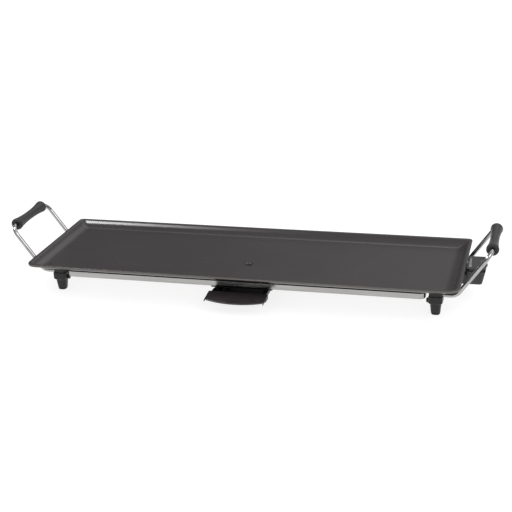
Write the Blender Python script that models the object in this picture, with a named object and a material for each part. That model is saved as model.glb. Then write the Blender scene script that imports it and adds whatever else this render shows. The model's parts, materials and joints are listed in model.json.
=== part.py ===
"""Electric table griddle: a long shallow non-stick plate on four feet, with a heat shield and a
tubular element below it, a drip tray, two wire handles and a plug-in thermostat probe.

Units are metres, +Z is up and +Y points away from the user. The model is laid out around the
middle of the plate, and everything hangs from one empty that centres the object on the origin.
"""

import math

import bmesh
import bpy
from mathutils import Matrix, Vector

MM = 0.001
GAP = 0.3 * MM                    # clearance between pieces that touch

# Plate
PLATE_HALF = Vector((350.0, 116.5)) * MM
RIM_TOP = 59.0 * MM
RIM_THICK = 3.5 * MM
RIM_LIP = 5.0 * MM                # flat width of the rim's top
RIM_SLOPE = 12.5 * MM             # width of the sloping wall inside the lip
COOK_TOP = 49.0 * MM
PLATE_UNDER = COOK_TOP - 3.5 * MM
RIM_CORNERS = Vector((17.0, 7.0)) * MM      # the front pair is rounder than the back pair
WELL_CORNERS = Vector((9.0, 5.0)) * MM
ROOT_OFFSET_Y = 7.25 * MM         # moves the middle of the whole box onto the origin

# Feet
FOOT_X = 310.5 * MM
FOOT_Y = 66.0 * MM
FOOT_TOP = PLATE_UNDER - GAP
BLOCK_HALF = 11.0 * MM
COLUMN_HALF = 9.9 * MM            # above the block
BLOCK_LOW = 20.5 * MM
BLOCK_TOP = 31.0 * MM
LUG_Z = 22.0 * MM                 # small round lug low on the foot's inner side
LUG_RADIUS = 3.8 * MM
LUG_REACH = 14.5 * MM
SHOULDER_LOW = 17.9 * MM
LEG_TOP_HALF = 8.5 * MM
LEG_LOW_HALF = 7.25 * MM
TIP_TOP = 3.0 * MM
BOSS_RADIUS = 5.0 * MM
BOSS_LOW = 37.5 * MM
FOOT_LEDGE_LOW = 33.2 * MM
SCREW_SHANK = 1.9 * MM
GRUB_X = 8.2 * MM                 # set screw's distance from the foot's axis

# Wire handles and grips
WIRE_RADIUS = 3.5 * MM
WIRE_INNER_X = 315.8 * MM
WIRE_KNEE_X = 341.5 * MM
WIRE_LOW_Z = 32.0 * MM
GRIP_X = 392.0 * MM
GRIP_Z = 102.8 * MM
WIRE_BEND = 16.0 * MM
GRIP_HALF = 48.5 * MM
GRIP_END_RADIUS = 9.9 * MM
GRIP_WAIST_RADIUS = 7.1 * MM

# Heat shield pan
PAN_HALF = Vector((295.5, 78.0)) * MM
PAN_LOW = 26.5 * MM
PAN_TOP = 36.3 * MM                # leaves an air gap under the plate
SHEET = 1.0 * MM
STUD = Vector((200.0, 62.0)) * MM
STUD_RADIUS = 4.0 * MM
STUD_LOW = PAN_LOW + SHEET + 0.5 * MM

# Drain, tray and tray bracket
TRAY_X = 4.0 * MM
DRAIN_Y = -30.0 * MM
DRAIN_RADIUS = 5.0 * MM
SPOUT_RADIUS = 8.0 * MM
SPOUT_LOW = 23.5 * MM
BRACKET_HALF = 50.5 * MM
BRACKET_TOP = PAN_LOW - GAP
BRACKET_FRONT = -77.0 * MM
BRACKET_BACK = 10.0 * MM
RAIL_WALL = 43.0 * MM             # inner face of the bracket's side walls
RAIL_LIP = 39.0 * MM              # inner edge of the rails
RAIL_LOW = 17.5 * MM
TRAY_BACK = 8.0 * MM
TRAY_RIM = RAIL_LOW + 2.7 * MM
TRAY_LOW = 10.5 * MM
TRAY_WALL_HALF = 37.8 * MM
TRAY_FLANGE_HALF = RAIL_WALL - 0.6 * MM
TRAY_WALL = 1.6 * MM
TUB_HALF = 45.0 * MM              # wide part of the tray, in front of the bracket
TUB_FRONT = -98.0 * MM
TUB_BACK = BRACKET_FRONT - GAP
TUB_RIM = 25.2 * MM
LIP_HALF = 48.6 * MM
LIP_ROOT_Y = TUB_FRONT + 1.4 * MM
LIP_NOSE_Y = -131.0 * MM
LIP_BACK_TOP = 26.5 * MM
LIP_FRONT_TOP = 22.0 * MM
# Half of the lip's front edge as (distance from the middle, y): a bow, a notch and a pointed ear
LIP_BOW = (45.7 * MM, -122.5 * MM)
LIP_EAR = ((46.3 * MM, -114.0 * MM), (47.3 * MM, -127.5 * MM), (48.0 * MM, -126.5 * MM),
           (48.6 * MM, -118.0 * MM))
LIP_THICK = 2.4 * MM

# Heating element
TUBE_RADIUS = 3.3 * MM
TUBE_Z = PLATE_UNDER - GAP - TUBE_RADIUS
TERMINAL_Z = 37.6 * MM
TERMINAL_PITCH = 9.5 * MM         # half the distance between the two cold ends
TUBE_END_X = 302.0 * MM
RUN_Y = 45.0 * MM
RUN_LEFT_X = -265.0 * MM
RUN_RIGHT_X = 235.0 * MM
CLAMP_X = 120.0 * MM
CLAMP_THICK = 2.0 * MM

# Thermostat probe
PROBE_Y = 12.0 * MM
PROBE_BACK_X = 351.0 * MM
PROBE_END_X = 380.5 * MM
PROBE_HALF_Y = 27.0 * MM
PROBE_LOW = 31.0 * MM
PROBE_SPLIT_LOW = 51.8 * MM
PROBE_SPLIT_HIGH = 56.4 * MM
PROBE_TOP = 58.2 * MM
PROBE_WALL = 1.7 * MM
PROBE_CORNER = 4.0 * MM
SKIRT_INSET = 3.0 * MM
NOSE_FRONT_X = 317.0 * MM
NOSE_HALF_Y = 22.5 * MM
NOSE_TOP = 43.2 * MM
SHOULDER = Vector((333.0, 26.5, 46.0)) * MM     # front, half width and top of the part under the rim
DIAL_X = 367.5 * MM
DIAL_RADIUS = 14.5 * MM
DIAL_RIBS = 30
ROD_RADIUS = 2.5 * MM
ROD_TIP_X = 262.0 * MM
PIN_RADIUS = 2.0 * MM
PIN_TIP_X = 331.0 * MM
GLAND_X = 364.0 * MM
GLAND_Z = 37.9 * MM
LAMP_X = 372.8 * MM
LAMP_Y = PROBE_Y + 19.6 * MM
GUARD_SCREW_X = 318.0 * MM
GUARD_SCREW_Y = 31.0 * MM         # from the probe's middle

# name: colour, roughness, metallic
FINISHES = {
    "nonstick": ((0.075, 0.068, 0.070), 0.42, 0.0),
    "brushed_steel": ((0.45, 0.44, 0.42), 0.35, 1.0),
    "chrome": ((0.75, 0.75, 0.76), 0.08, 1.0),
    "black_plastic": ((0.045, 0.042, 0.043), 0.5, 0.0),
    "tray_enamel": ((0.02, 0.018, 0.024), 0.3, 0.0),
    "rubber": ((0.02, 0.02, 0.021), 0.8, 0.0),
    "element_steel": ((0.16, 0.15, 0.14), 0.45, 1.0),
    "zinc": ((0.5, 0.5, 0.5), 0.35, 1.0),
    "ceramic": ((0.8, 0.78, 0.72), 0.4, 0.0),
    "brass": ((0.7, 0.5, 0.22), 0.25, 1.0),
    "lens_red": ((0.6, 0.03, 0.02), 0.1, 0.0),
    "clear_glass": ((0.85, 0.8, 0.7), 0.05, 0.0),
}


def clear_scene():
    for thing in list(bpy.data.objects):
        bpy.data.objects.remove(thing, do_unlink=True)


def make_finishes():
    made = {}
    for name, (colour, roughness, metallic) in FINISHES.items():
        material = bpy.data.materials.new(name)
        material.use_nodes = True
        shader = material.node_tree.nodes["Principled BSDF"]
        shader.inputs["Base Color"].default_value = (*colour, 1.0)
        shader.inputs["Roughness"].default_value = roughness
        shader.inputs["Metallic"].default_value = metallic
        made[name] = material
    return made


def make_empty(name, place, parent=None):
    empty = bpy.data.objects.new(name, None)
    empty.location = place
    empty.empty_display_size = 10.0 * MM
    empty.parent = parent
    bpy.context.scene.collection.objects.link(empty)
    return empty


# ---------------------------------------------------------------- mesh tools

def finish_mesh(bm):
    """Turn a bmesh into a mesh with its faces pointing out."""
    bmesh.ops.recalc_face_normals(bm, faces=bm.faces)
    mesh = bpy.data.meshes.new("solid")
    bm.to_mesh(mesh)
    bm.free()
    return mesh


def loft(rings, closed=False):
    """Join rings of points one after the other; the two ends are capped unless closed."""
    bm = bmesh.new()
    loops = [[bm.verts.new(point) for point in ring] for ring in rings]
    pairs = list(zip(loops, loops[1:]))
    if closed:
        pairs.append((loops[-1], loops[0]))
    for low, high in pairs:
        for here in range(len(low)):
            there = (here + 1) % len(low)
            bm.faces.new((low[here], low[there], high[there], high[here]))
    if not closed:
        bm.faces.new(tuple(reversed(loops[0])))
        bm.faces.new(tuple(loops[-1]))
    return finish_mesh(bm)


def rounded_rectangle(half_x, half_y, radius, z, steps=3, centre=(0.0, 0.0), back_radius=None):
    """A ring of points. The two corners towards +Y may have their own radius."""
    points = []
    back = radius if back_radius is None else back_radius
    corners = ((1, 1, 0, back), (-1, 1, 90, back), (-1, -1, 180, radius), (1, -1, 270, radius))
    for side_x, side_y, start, bend in corners:
        for step in range(steps + 1):
            angle = math.radians(start + 90.0 * step / steps)
            x = side_x * (half_x - bend) + bend * math.cos(angle)
            y = side_y * (half_y - bend) + bend * math.sin(angle)
            points.append(Vector((centre[0] + x, centre[1] + y, z)))
    return points


def circle(radius, z, sides, centre=(0.0, 0.0)):
    turn = 2.0 * math.pi / sides
    return [
        Vector((centre[0] + radius * math.cos(k * turn), centre[1] + radius * math.sin(k * turn), z))
        for k in range(sides)
    ]


def turned(profile, sides=20, centre=(0.0, 0.0), hollow=False):
    """Revolve (radius, height) pairs about Z; a hollow profile runs round the wall's section."""
    rings = [circle(radius, height, sides, centre) for radius, height in profile]
    return loft(rings, closed=hollow)


def prism(outline, low, high):
    """Extrude an (x, y) outline between two heights."""
    return loft([[Vector((x, y, z)) for x, y in outline] for z in (low, high)])


def box(low, high):
    corners = ((low[0], low[1]), (high[0], low[1]), (high[0], high[1]), (low[0], high[1]))
    return prism(corners, low[2], high[2])


def extruded_along_y(section, front, back):
    """Extrude an (x, z) section between two values of y."""
    return loft([[Vector((x, y, z)) for x, z in section] for y in (front, back)])


def extruded_along_x(section, left, right):
    """Extrude a (y, z) section between two values of x."""
    return loft([[Vector((x, y, z)) for y, z in section] for x in (left, right)])


def rod_along_x(radius, left, right, y, z, sides=14):
    turn = 2.0 * math.pi / sides
    section = [(y + radius * math.cos(k * turn), z + radius * math.sin(k * turn)) for k in range(sides)]
    return extruded_along_x(section, left, right)


def rod_along_y(radius, front, back, x, z, sides=14):
    turn = 2.0 * math.pi / sides
    section = [(x + radius * math.cos(k * turn), z + radius * math.sin(k * turn)) for k in range(sides)]
    return extruded_along_y(section, front, back)


def rod_along_z(radius, low, high, x, y, sides=14):
    return turned(((radius, low), (radius, high)), sides, (x, y))


def bent_path(corners, bends, steps):
    """Round each inner corner of a route with an arc of the given radius."""
    corners = [Vector(corner) for corner in corners]
    path = [corners[0]]
    for before, corner, after, radius in zip(corners, corners[1:], corners[2:], bends):
        inward = (before - corner).normalized()
        outward = (after - corner).normalized()
        half_angle = inward.angle(outward) / 2.0
        reach = radius / math.tan(half_angle)
        middle = corner + (inward + outward).normalized() * radius / math.sin(half_angle)
        start = corner + inward * reach - middle
        end = corner + outward * reach - middle
        turn = start.angle(end)
        axis = start.cross(end).normalized()
        for step in range(steps + 1):
            path.append(middle + Matrix.Rotation(turn * step / steps, 3, axis) @ start)
    path.append(corners[-1])
    return path


def swept(path, radius, sides):
    """Sweep a circle along a path without twisting it."""
    rings = []
    tangents = []
    for here in range(len(path)):
        before = path[max(here - 1, 0)]
        after = path[min(here + 1, len(path) - 1)]
        tangents.append((after - before).normalized())
    across = tangents[0].orthogonal().normalized()
    for place, tangent in zip(path, tangents):
        across = (across - tangent * across.dot(tangent)).normalized()
        beside = tangent.cross(across)
        turn = 2.0 * math.pi / sides
        rings.append([
            place + (across * math.cos(k * turn) + beside * math.sin(k * turn)) * radius
            for k in range(sides)
        ])
    return loft(rings)


def combine(operation, base, tools):
    """Join the tools to the base mesh (UNION) or cut them from it (DIFFERENCE)."""
    body = bpy.data.objects.new("body", base)
    helpers = [bpy.data.objects.new("helper", tool) for tool in tools]
    for thing in [body, *helpers]:
        bpy.context.scene.collection.objects.link(thing)
    for helper in helpers:
        modifier = body.modifiers.new("combine", "BOOLEAN")
        modifier.operation = operation
        modifier.solver = "EXACT"
        modifier.object = helper
    graph = bpy.context.evaluated_depsgraph_get()
    mesh = bpy.data.meshes.new_from_object(body.evaluated_get(graph))
    for thing in [body, *helpers]:
        bpy.data.objects.remove(thing, do_unlink=True)
    return mesh


def join(base, *tools):
    return combine("UNION", base, tools)


def cut(base, *tools):
    return combine("DIFFERENCE", base, tools)


def place(name, mesh, finish, parent, origin=(0.0, 0.0, 0.0), rotation=(0.0, 0.0, 0.0)):
    """Make the named piece; the mesh is drawn around the piece's own origin."""
    mesh.name = name
    mesh.materials.clear()
    mesh.materials.append(finish)
    mesh.shade_smooth()
    mesh.set_sharp_from_angle(angle=math.radians(35.0))
    piece = bpy.data.objects.new(name, mesh)
    piece.location = origin
    piece.rotation_euler = rotation
    piece.parent = parent
    bpy.context.scene.collection.objects.link(piece)
    return piece


def corner_names():
    """Yield the name and the signs of the four corners of the object."""
    for side_y, depth in ((-1, "front"), (1, "back")):
        for side_x, hand in ((-1, "left"), (1, "right")):
            yield depth + "_" + hand, side_x, side_y


def pan_head_screw(shank, head, head_thick, length, sides=12):
    """A screw pointing up, its head's bearing face at height 0, with a slot in the head."""
    profile = ((head * 0.7, -head_thick), (head, -head_thick * 0.6), (head, 0.0),
               (shank, 0.0), (shank, length * 0.9), (shank * 0.6, length))
    slot_half = 0.15 * head
    slot = box((-head * 1.2, -slot_half, -head_thick * 1.2), (head * 1.2, slot_half, -head_thick * 0.55))
    return cut(turned(profile, sides), slot)


# ---------------------------------------------------------------- plate

def plate_rings():
    half_x, half_y = PLATE_HALF
    slope = RIM_LIP + RIM_SLOPE
    rim_under = RIM_TOP - RIM_THICK
    edge = 0.8 * MM
    well_front, well_back = WELL_CORNERS
    rim_front, rim_back = RIM_CORNERS
    #        inset            front corner             back corner             height
    section = (
        (slope + 2.5 * MM, well_front, well_back, PLATE_UNDER),
        (RIM_LIP + 1.5 * MM, rim_front - 5.0 * MM, rim_back - 1.5 * MM, rim_under),
        (edge, rim_front - edge, rim_back - edge, rim_under),
        (0.0, rim_front, rim_back, rim_under + edge),
        (0.0, rim_front, rim_back, RIM_TOP - edge),
        (edge, rim_front - edge, rim_back - edge, RIM_TOP),
        (RIM_LIP, rim_front - RIM_LIP, rim_back - 1.5 * MM, RIM_TOP),
        (slope - 1.5 * MM, well_front + 1.0 * MM, well_back, COOK_TOP + 0.5 * MM),
        (slope, well_front, well_back, COOK_TOP),
    )
    return [
        rounded_rectangle(half_x - inset, half_y - inset, front, height, 4, back_radius=back)
        for inset, front, back, height in section
    ]


def griddle_plate():
    inside = PLATE_UNDER + 1.5 * MM
    bosses = [
        rod_along_z(BOSS_RADIUS, BOSS_LOW, inside, side_x * FOOT_X, side_y * FOOT_Y)
        for _, side_x, side_y in corner_names()
    ]
    bosses += [
        rod_along_z(STUD_RADIUS, STUD_LOW, inside, side_x * STUD.x, side_y * STUD.y, 16)
        for _, side_x, side_y in corner_names()
    ]
    bosses += [
        rod_along_z(4.5 * MM, TUBE_Z - TUBE_RADIUS, inside, side * CLAMP_X, 0.0, 16) for side in (-1, 1)
    ]
    bosses.append(rod_along_z(SPOUT_RADIUS, SPOUT_LOW, inside, TRAY_X, DRAIN_Y))
    pad_low = TERMINAL_Z - 5.0 * MM
    bosses.append(box((258.0 * MM, PROBE_Y - 5.5 * MM, pad_low), (288.0 * MM, PROBE_Y + 5.5 * MM, inside)))

    holes = [
        rod_along_z(SCREW_SHANK + GAP, BOSS_LOW - MM, 45.8 * MM, side_x * FOOT_X, side_y * FOOT_Y)
        for _, side_x, side_y in corner_names()
    ]
    holes += [
        rod_along_z(1.5 * MM + GAP, STUD_LOW - MM, 40.0 * MM, side_x * STUD.x, side_y * STUD.y, 16)
        for _, side_x, side_y in corner_names()
    ]
    holes += [
        rod_along_z(1.5 * MM + GAP, 30.0 * MM, 45.5 * MM, side * CLAMP_X, 0.0, 16) for side in (-1, 1)
    ]
    holes += [rod_along_z(1.2 * MM + GAP, 40.0 * MM, 47.6 * MM, x, y, 12) for _, x, y in guard_screw_places()]
    drain_top = COOK_TOP + MM
    drain_profile = (
        (DRAIN_RADIUS, SPOUT_LOW - MM), (DRAIN_RADIUS, COOK_TOP - 1.5 * MM),
        (DRAIN_RADIUS + 2.0 * MM, COOK_TOP), (DRAIN_RADIUS + 2.0 * MM, drain_top),
    )
    holes.append(turned(drain_profile, 24, (TRAY_X, DRAIN_Y)))
    holes.append(rod_along_x(ROD_RADIUS + GAP, 250.0 * MM, 295.0 * MM, PROBE_Y, TERMINAL_Z))
    return cut(join(loft(plate_rings()), *bosses), *holes)


# ---------------------------------------------------------------- heat shield, bracket and tray

def heat_shield_pan():
    half_x, half_y = PAN_HALF
    corner = 8.0 * MM
    edge = 1.5 * MM
    rings = [
        rounded_rectangle(half_x - edge, half_y - edge, corner - edge, PAN_LOW),
        rounded_rectangle(half_x, half_y, corner, PAN_LOW + edge),
        rounded_rectangle(half_x, half_y, corner, PAN_TOP),
        rounded_rectangle(half_x - SHEET, half_y - SHEET, corner - SHEET, PAN_TOP),
        rounded_rectangle(half_x - SHEET, half_y - SHEET, corner - SHEET, PAN_LOW + SHEET + 0.5 * MM),
        rounded_rectangle(half_x - edge - 0.5 * MM, half_y - edge - 0.5 * MM, corner - edge, PAN_LOW + SHEET),
    ]
    tools = [rod_along_z(10.0 * MM, PAN_LOW - MM, PAN_LOW + 3.0 * MM, TRAY_X, DRAIN_Y, 24)]
    tools += [
        rod_along_z(1.5 * MM + GAP, PAN_LOW - MM, PAN_LOW + 3.0 * MM, side_x * STUD.x, side_y * STUD.y, 16)
        for _, side_x, side_y in corner_names()
    ]
    tools += [
        rod_along_z(1.2 * MM + GAP, PAN_LOW - MM, PAN_LOW + 3.0 * MM, x, y, 12)
        for _, x, y in bracket_screw_places()
    ]
    tools.append(box((half_x - 3.0 * MM, PROBE_Y - 15.0 * MM, 32.0 * MM),
                     (half_x + MM, PROBE_Y + 15.0 * MM, PAN_TOP + MM)))
    return cut(loft(rings), *tools)


def bracket_screw_places():
    for name, side_x, side_y in corner_names():
        yield name, TRAY_X + side_x * 47.5 * MM, -34.0 * MM + side_y * 30.0 * MM


def tray_bracket():
    """A top-hat channel: flanges under the pan, side walls, and rails turned inwards."""
    wall_out = RAIL_WALL + 1.2 * MM
    top = BRACKET_TOP
    under = top - 1.2 * MM
    right = [(wall_out, under), (BRACKET_HALF, under), (BRACKET_HALF, top)]
    down = [(RAIL_LIP, RAIL_LOW), (wall_out, RAIL_LOW)]
    inner = [(RAIL_WALL, under), (RAIL_WALL, RAIL_LOW + 1.2 * MM), (RAIL_LIP, RAIL_LOW + 1.2 * MM)]
    half = down + right
    section = [(TRAY_X + x, z) for x, z in half]
    section += [(TRAY_X - x, z) for x, z in reversed(half)]
    section += [(TRAY_X - x, z) for x, z in reversed(inner)]
    section += [(TRAY_X + x, z) for x, z in inner]
    tools = [rod_along_z(11.0 * MM, under - MM, top + MM, TRAY_X, DRAIN_Y, 24)]
    tools += [
        rod_along_z(1.2 * MM + GAP, under - MM, top + MM, x, y, 12)
        for _, x, y in bracket_screw_places()
    ]
    return cut(extruded_along_y(section, BRACKET_FRONT, BRACKET_BACK), *tools)


def tray_lip():
    """The bowed handle lip in front of the tray, a slab of upright sections side by side."""
    reach, corner_y = LIP_BOW
    shares = (0.0, 0.3, 0.55, 0.78, 0.92, 1.0)
    bow = [(reach * t, LIP_NOSE_Y + (corner_y - LIP_NOSE_Y) * t ** 2.2) for t in shares]
    half = bow + list(LIP_EAR)
    fall = (LIP_FRONT_TOP - LIP_BACK_TOP) / (LIP_NOSE_Y - LIP_ROOT_Y)
    sections = []
    for side, columns in ((-1, half[:0:-1]), (1, half)):
        for x, front_y in columns:
            edge = 0.8 * MM if x == LIP_HALF else 0.0
            back = LIP_BACK_TOP - edge
            front = LIP_BACK_TOP + fall * (front_y - LIP_ROOT_Y) - edge
            thick = LIP_THICK - 2.0 * edge
            slant = 0.8 * MM * fall
            ring = ((LIP_ROOT_Y, back), (front_y + 0.8 * MM, front + slant),
                    (front_y, front - 0.3 * thick), (front_y, front - 0.7 * thick),
                    (front_y + 0.8 * MM, front + slant - thick), (LIP_ROOT_Y, back - thick))
            sections.append([Vector((TRAY_X + side * x, y, z)) for y, z in ring])
    return loft(sections)


def tray_block(half_x, front, back, low, high, corner, foot_inset):
    """A box with rounded upright corners that is drawn in at the bottom."""
    half_y = (back - front) / 2.0
    middle = (TRAY_X, (front + back) / 2.0)
    return loft([
        rounded_rectangle(half_x - foot_inset, half_y - foot_inset, corner - MM, low, 3, middle),
        rounded_rectangle(half_x, half_y, corner, low + 2.0 * MM, 3, middle),
        rounded_rectangle(half_x, half_y, corner, high, 3, middle),
    ])


def drip_tray():
    """A narrow part that runs in the rails, open into a wider tub in front of them."""
    wall = TRAY_WALL
    floor = TRAY_LOW + wall
    above = LIP_BACK_TOP + MM
    body = tray_block(TRAY_WALL_HALF, TUB_FRONT + MM, TRAY_BACK, TRAY_LOW, TRAY_RIM, 6.0 * MM, 1.5 * MM)
    tub = tray_block(TUB_HALF, TUB_FRONT, TUB_BACK, TRAY_LOW, TUB_RIM, 5.0 * MM, 1.5 * MM)
    flange = box((TRAY_X - TRAY_FLANGE_HALF, TUB_BACK - 0.7 * MM, TRAY_RIM - 1.2 * MM),
                 (TRAY_X + TRAY_FLANGE_HALF, TRAY_BACK, TRAY_RIM - 0.01 * MM))
    channel = tray_block(TRAY_WALL_HALF - wall, TUB_FRONT + wall + 4.0 * MM, TRAY_BACK - wall,
                         floor, above, 4.5 * MM, 1.5 * MM)
    basin = tray_block(TUB_HALF - wall, TUB_FRONT + wall, TUB_BACK - wall, floor, above, 3.5 * MM, 1.5 * MM)
    return cut(join(body, flange, tub, tray_lip()), channel, basin)


# ---------------------------------------------------------------- feet and handles

def foot(side_x, side_y):
    """A square foot drawn around its own axis, with a boss pocket and a screw well."""
    rings = [
        rounded_rectangle(LEG_LOW_HALF, LEG_LOW_HALF, 5.5 * MM, TIP_TOP + GAP, 2),
        rounded_rectangle(LEG_TOP_HALF, LEG_TOP_HALF, 5.0 * MM, SHOULDER_LOW, 2),
        rounded_rectangle(BLOCK_HALF, BLOCK_HALF, 3.5 * MM, BLOCK_LOW, 2),
        rounded_rectangle(BLOCK_HALF, BLOCK_HALF, 3.5 * MM, BLOCK_TOP, 2),
        rounded_rectangle(COLUMN_HALF, COLUMN_HALF, 3.0 * MM, BLOCK_TOP + 1.0 * MM, 2),
        rounded_rectangle(COLUMN_HALF, COLUMN_HALF, 3.0 * MM, FOOT_TOP, 2),
    ]
    socket_left, socket_right = sorted((side_x * (WIRE_INNER_X - FOOT_X - GAP), side_x * 20.0 * MM))
    grub_front, grub_back = sorted((0.0, -side_y * 20.0 * MM))
    lug_left, lug_right = sorted((0.0, -side_x * LUG_REACH))
    return cut(
        join(loft(rings), rod_along_x(LUG_RADIUS, lug_left, lug_right, 0.0, LUG_Z)),
        rod_along_z(BOSS_RADIUS + GAP, BOSS_LOW - GAP, FOOT_TOP + MM, 0.0, 0.0),
        rod_along_z(SCREW_SHANK + GAP, 20.0 * MM, FOOT_TOP, 0.0, 0.0),
        rod_along_z(4.0 * MM, 0.0, FOOT_LEDGE_LOW, 0.0, 0.0),
        rod_along_x(WIRE_RADIUS + GAP, socket_left, socket_right, 0.0, WIRE_LOW_Z),
        rod_along_y(1.5 * MM + GAP, grub_front, grub_back, side_x * GRUB_X, WIRE_LOW_Z, 12),
    )


def foot_tip():
    """A rubber pad with a stem that plugs the screw well."""
    low_half = LEG_LOW_HALF - 0.5 * MM
    pad = loft([
        rounded_rectangle(low_half - 0.8 * MM, low_half - 0.8 * MM, 4.5 * MM, 0.0, 2),
        rounded_rectangle(low_half, low_half, 5.0 * MM, 1.2 * MM, 2),
        rounded_rectangle(LEG_LOW_HALF, LEG_LOW_HALF, 5.5 * MM, TIP_TOP, 2),
    ])
    return join(pad, rod_along_z(3.7 * MM, 1.5 * MM, 12.0 * MM, 0.0, 0.0))


def grub_screw():
    """A set screw along +Z, with a socket in its driven end."""
    body = turned(((1.1 * MM, 0.0), (1.5 * MM, 0.5 * MM), (1.5 * MM, 6.6 * MM)), 12)
    return cut(body, rod_along_z(0.8 * MM, 4.8 * MM, 8.0 * MM, 0.0, 0.0, 6))


def handle_wire(side):
    corners = (
        (side * WIRE_INNER_X, -FOOT_Y, WIRE_LOW_Z),
        (side * WIRE_KNEE_X, -FOOT_Y, WIRE_LOW_Z),
        (side * GRIP_X, -FOOT_Y, GRIP_Z),
        (side * GRIP_X, FOOT_Y, GRIP_Z),
        (side * WIRE_KNEE_X, FOOT_Y, WIRE_LOW_Z),
        (side * WIRE_INNER_X, FOOT_Y, WIRE_LOW_Z),
    )
    return swept(bent_path(corners, [WIRE_BEND] * 4, 5), WIRE_RADIUS, 10)


def handle_grip():
    """A waisted sleeve along Z, bored to turn on the wire."""
    bore = WIRE_RADIUS + GAP
    end = 2.5 * MM
    outer = [(GRIP_END_RADIUS - 1.2 * MM, -GRIP_HALF), (GRIP_END_RADIUS, -GRIP_HALF + 1.2 * MM)]
    steps = 10
    for step in range(steps + 1):
        share = -1.0 + 2.0 * step / steps
        height = share * (GRIP_HALF - end)
        swell = abs(share) ** 2.0
        outer.append((GRIP_WAIST_RADIUS + (GRIP_END_RADIUS - GRIP_WAIST_RADIUS) * swell, height))
    outer += [(GRIP_END_RADIUS, GRIP_HALF - 1.2 * MM), (GRIP_END_RADIUS - 1.2 * MM, GRIP_HALF)]
    return turned([*outer, (bore, GRIP_HALF), (bore, -GRIP_HALF)], 16, hollow=True)


# ---------------------------------------------------------------- heating element and its guard

def heating_element():
    near = PROBE_Y - TERMINAL_PITCH
    far = PROBE_Y + TERMINAL_PITCH
    half = [(TUBE_END_X, TERMINAL_Z), (282.0 * MM, TERMINAL_Z), (270.0 * MM, TUBE_Z), (256.0 * MM, TUBE_Z)]
    corners = [(x, far, z) for x, z in half]
    corners += [(RUN_RIGHT_X, RUN_Y, TUBE_Z), (RUN_LEFT_X, RUN_Y, TUBE_Z)]
    corners += [(RUN_LEFT_X, -RUN_Y, TUBE_Z), (RUN_RIGHT_X, -RUN_Y, TUBE_Z)]
    corners += [(x, near, z) for x, z in reversed(half)]
    small = 8.0 * MM
    wide = 20.0 * MM
    bends = [small, small, small, small, wide, wide, small, small, small, small]
    return swept(bent_path(corners, bends, 3), TUBE_RADIUS, 8)


def terminal_pin():
    """A cold pin along Z with a rounded tip."""
    length = PIN_TIP_X - TUBE_END_X - GAP
    return turned(((PIN_RADIUS, 0.0), (PIN_RADIUS, length - 1.5 * MM), (PIN_RADIUS * 0.5, length)), 16)


def insulator():
    """A ceramic bush round the pin."""
    bore = PIN_RADIUS + GAP
    profile = ((4.4 * MM, 0.0), (4.4 * MM, 2.5 * MM), (3.2 * MM, 6.0 * MM), (bore, 6.0 * MM), (bore, 0.0))
    return turned(profile, 16, hollow=True)


def guard_screw_places():
    for name, side in (("front", -1), ("back", 1)):
        yield name, GUARD_SCREW_X, PROBE_Y + side * GUARD_SCREW_Y


def socket_guard():
    """A sheet channel under the plate that shields the terminals and guides the probe."""
    sheet = 1.0 * MM
    wall = 25.5 * MM
    low = 28.5 * MM
    top = PLATE_UNDER - GAP
    half = [(wall, low), (wall, top - sheet), (wall + 10.0 * MM, top - sheet), (wall + 10.0 * MM, top),
            (wall - sheet, top), (wall - sheet, low + sheet)]
    section = [(PROBE_Y + y, z) for y, z in half]
    section += [(PROBE_Y - y, z) for y, z in reversed(half)]
    low_cut = top - 2.0 * MM
    holes = [rod_along_z(1.2 * MM + GAP, low_cut, top + MM, x, y, 12) for _, x, y in guard_screw_places()]
    return cut(extruded_along_x(section, 298.0 * MM, 329.0 * MM), *holes)


def element_clamp():
    """A flat bar across both runs of the element, drawn around its screw hole."""
    half = RUN_Y + 6.0 * MM
    low = -CLAMP_THICK
    bar = loft([
        rounded_rectangle(7.0 * MM, half, 3.0 * MM, low, 3),
        rounded_rectangle(7.0 * MM, half, 3.0 * MM, 0.0, 3),
    ])
    return cut(bar, rod_along_z(1.5 * MM + GAP, low - MM, MM, 0.0, 0.0, 16))


# ---------------------------------------------------------------- thermostat probe

def probe_outline(inset, z, end_inset=0.0):
    """A rounded rectangle in the probe's plan, drawn in all round and further at its free end."""
    left = PROBE_BACK_X + inset
    right = PROBE_END_X - inset - end_inset
    radius = max(PROBE_CORNER - inset, 1.2 * MM)
    return rounded_rectangle((right - left) / 2.0, PROBE_HALF_Y - inset, radius, z, 4,
                             ((left + right) / 2.0, PROBE_Y))


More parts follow.
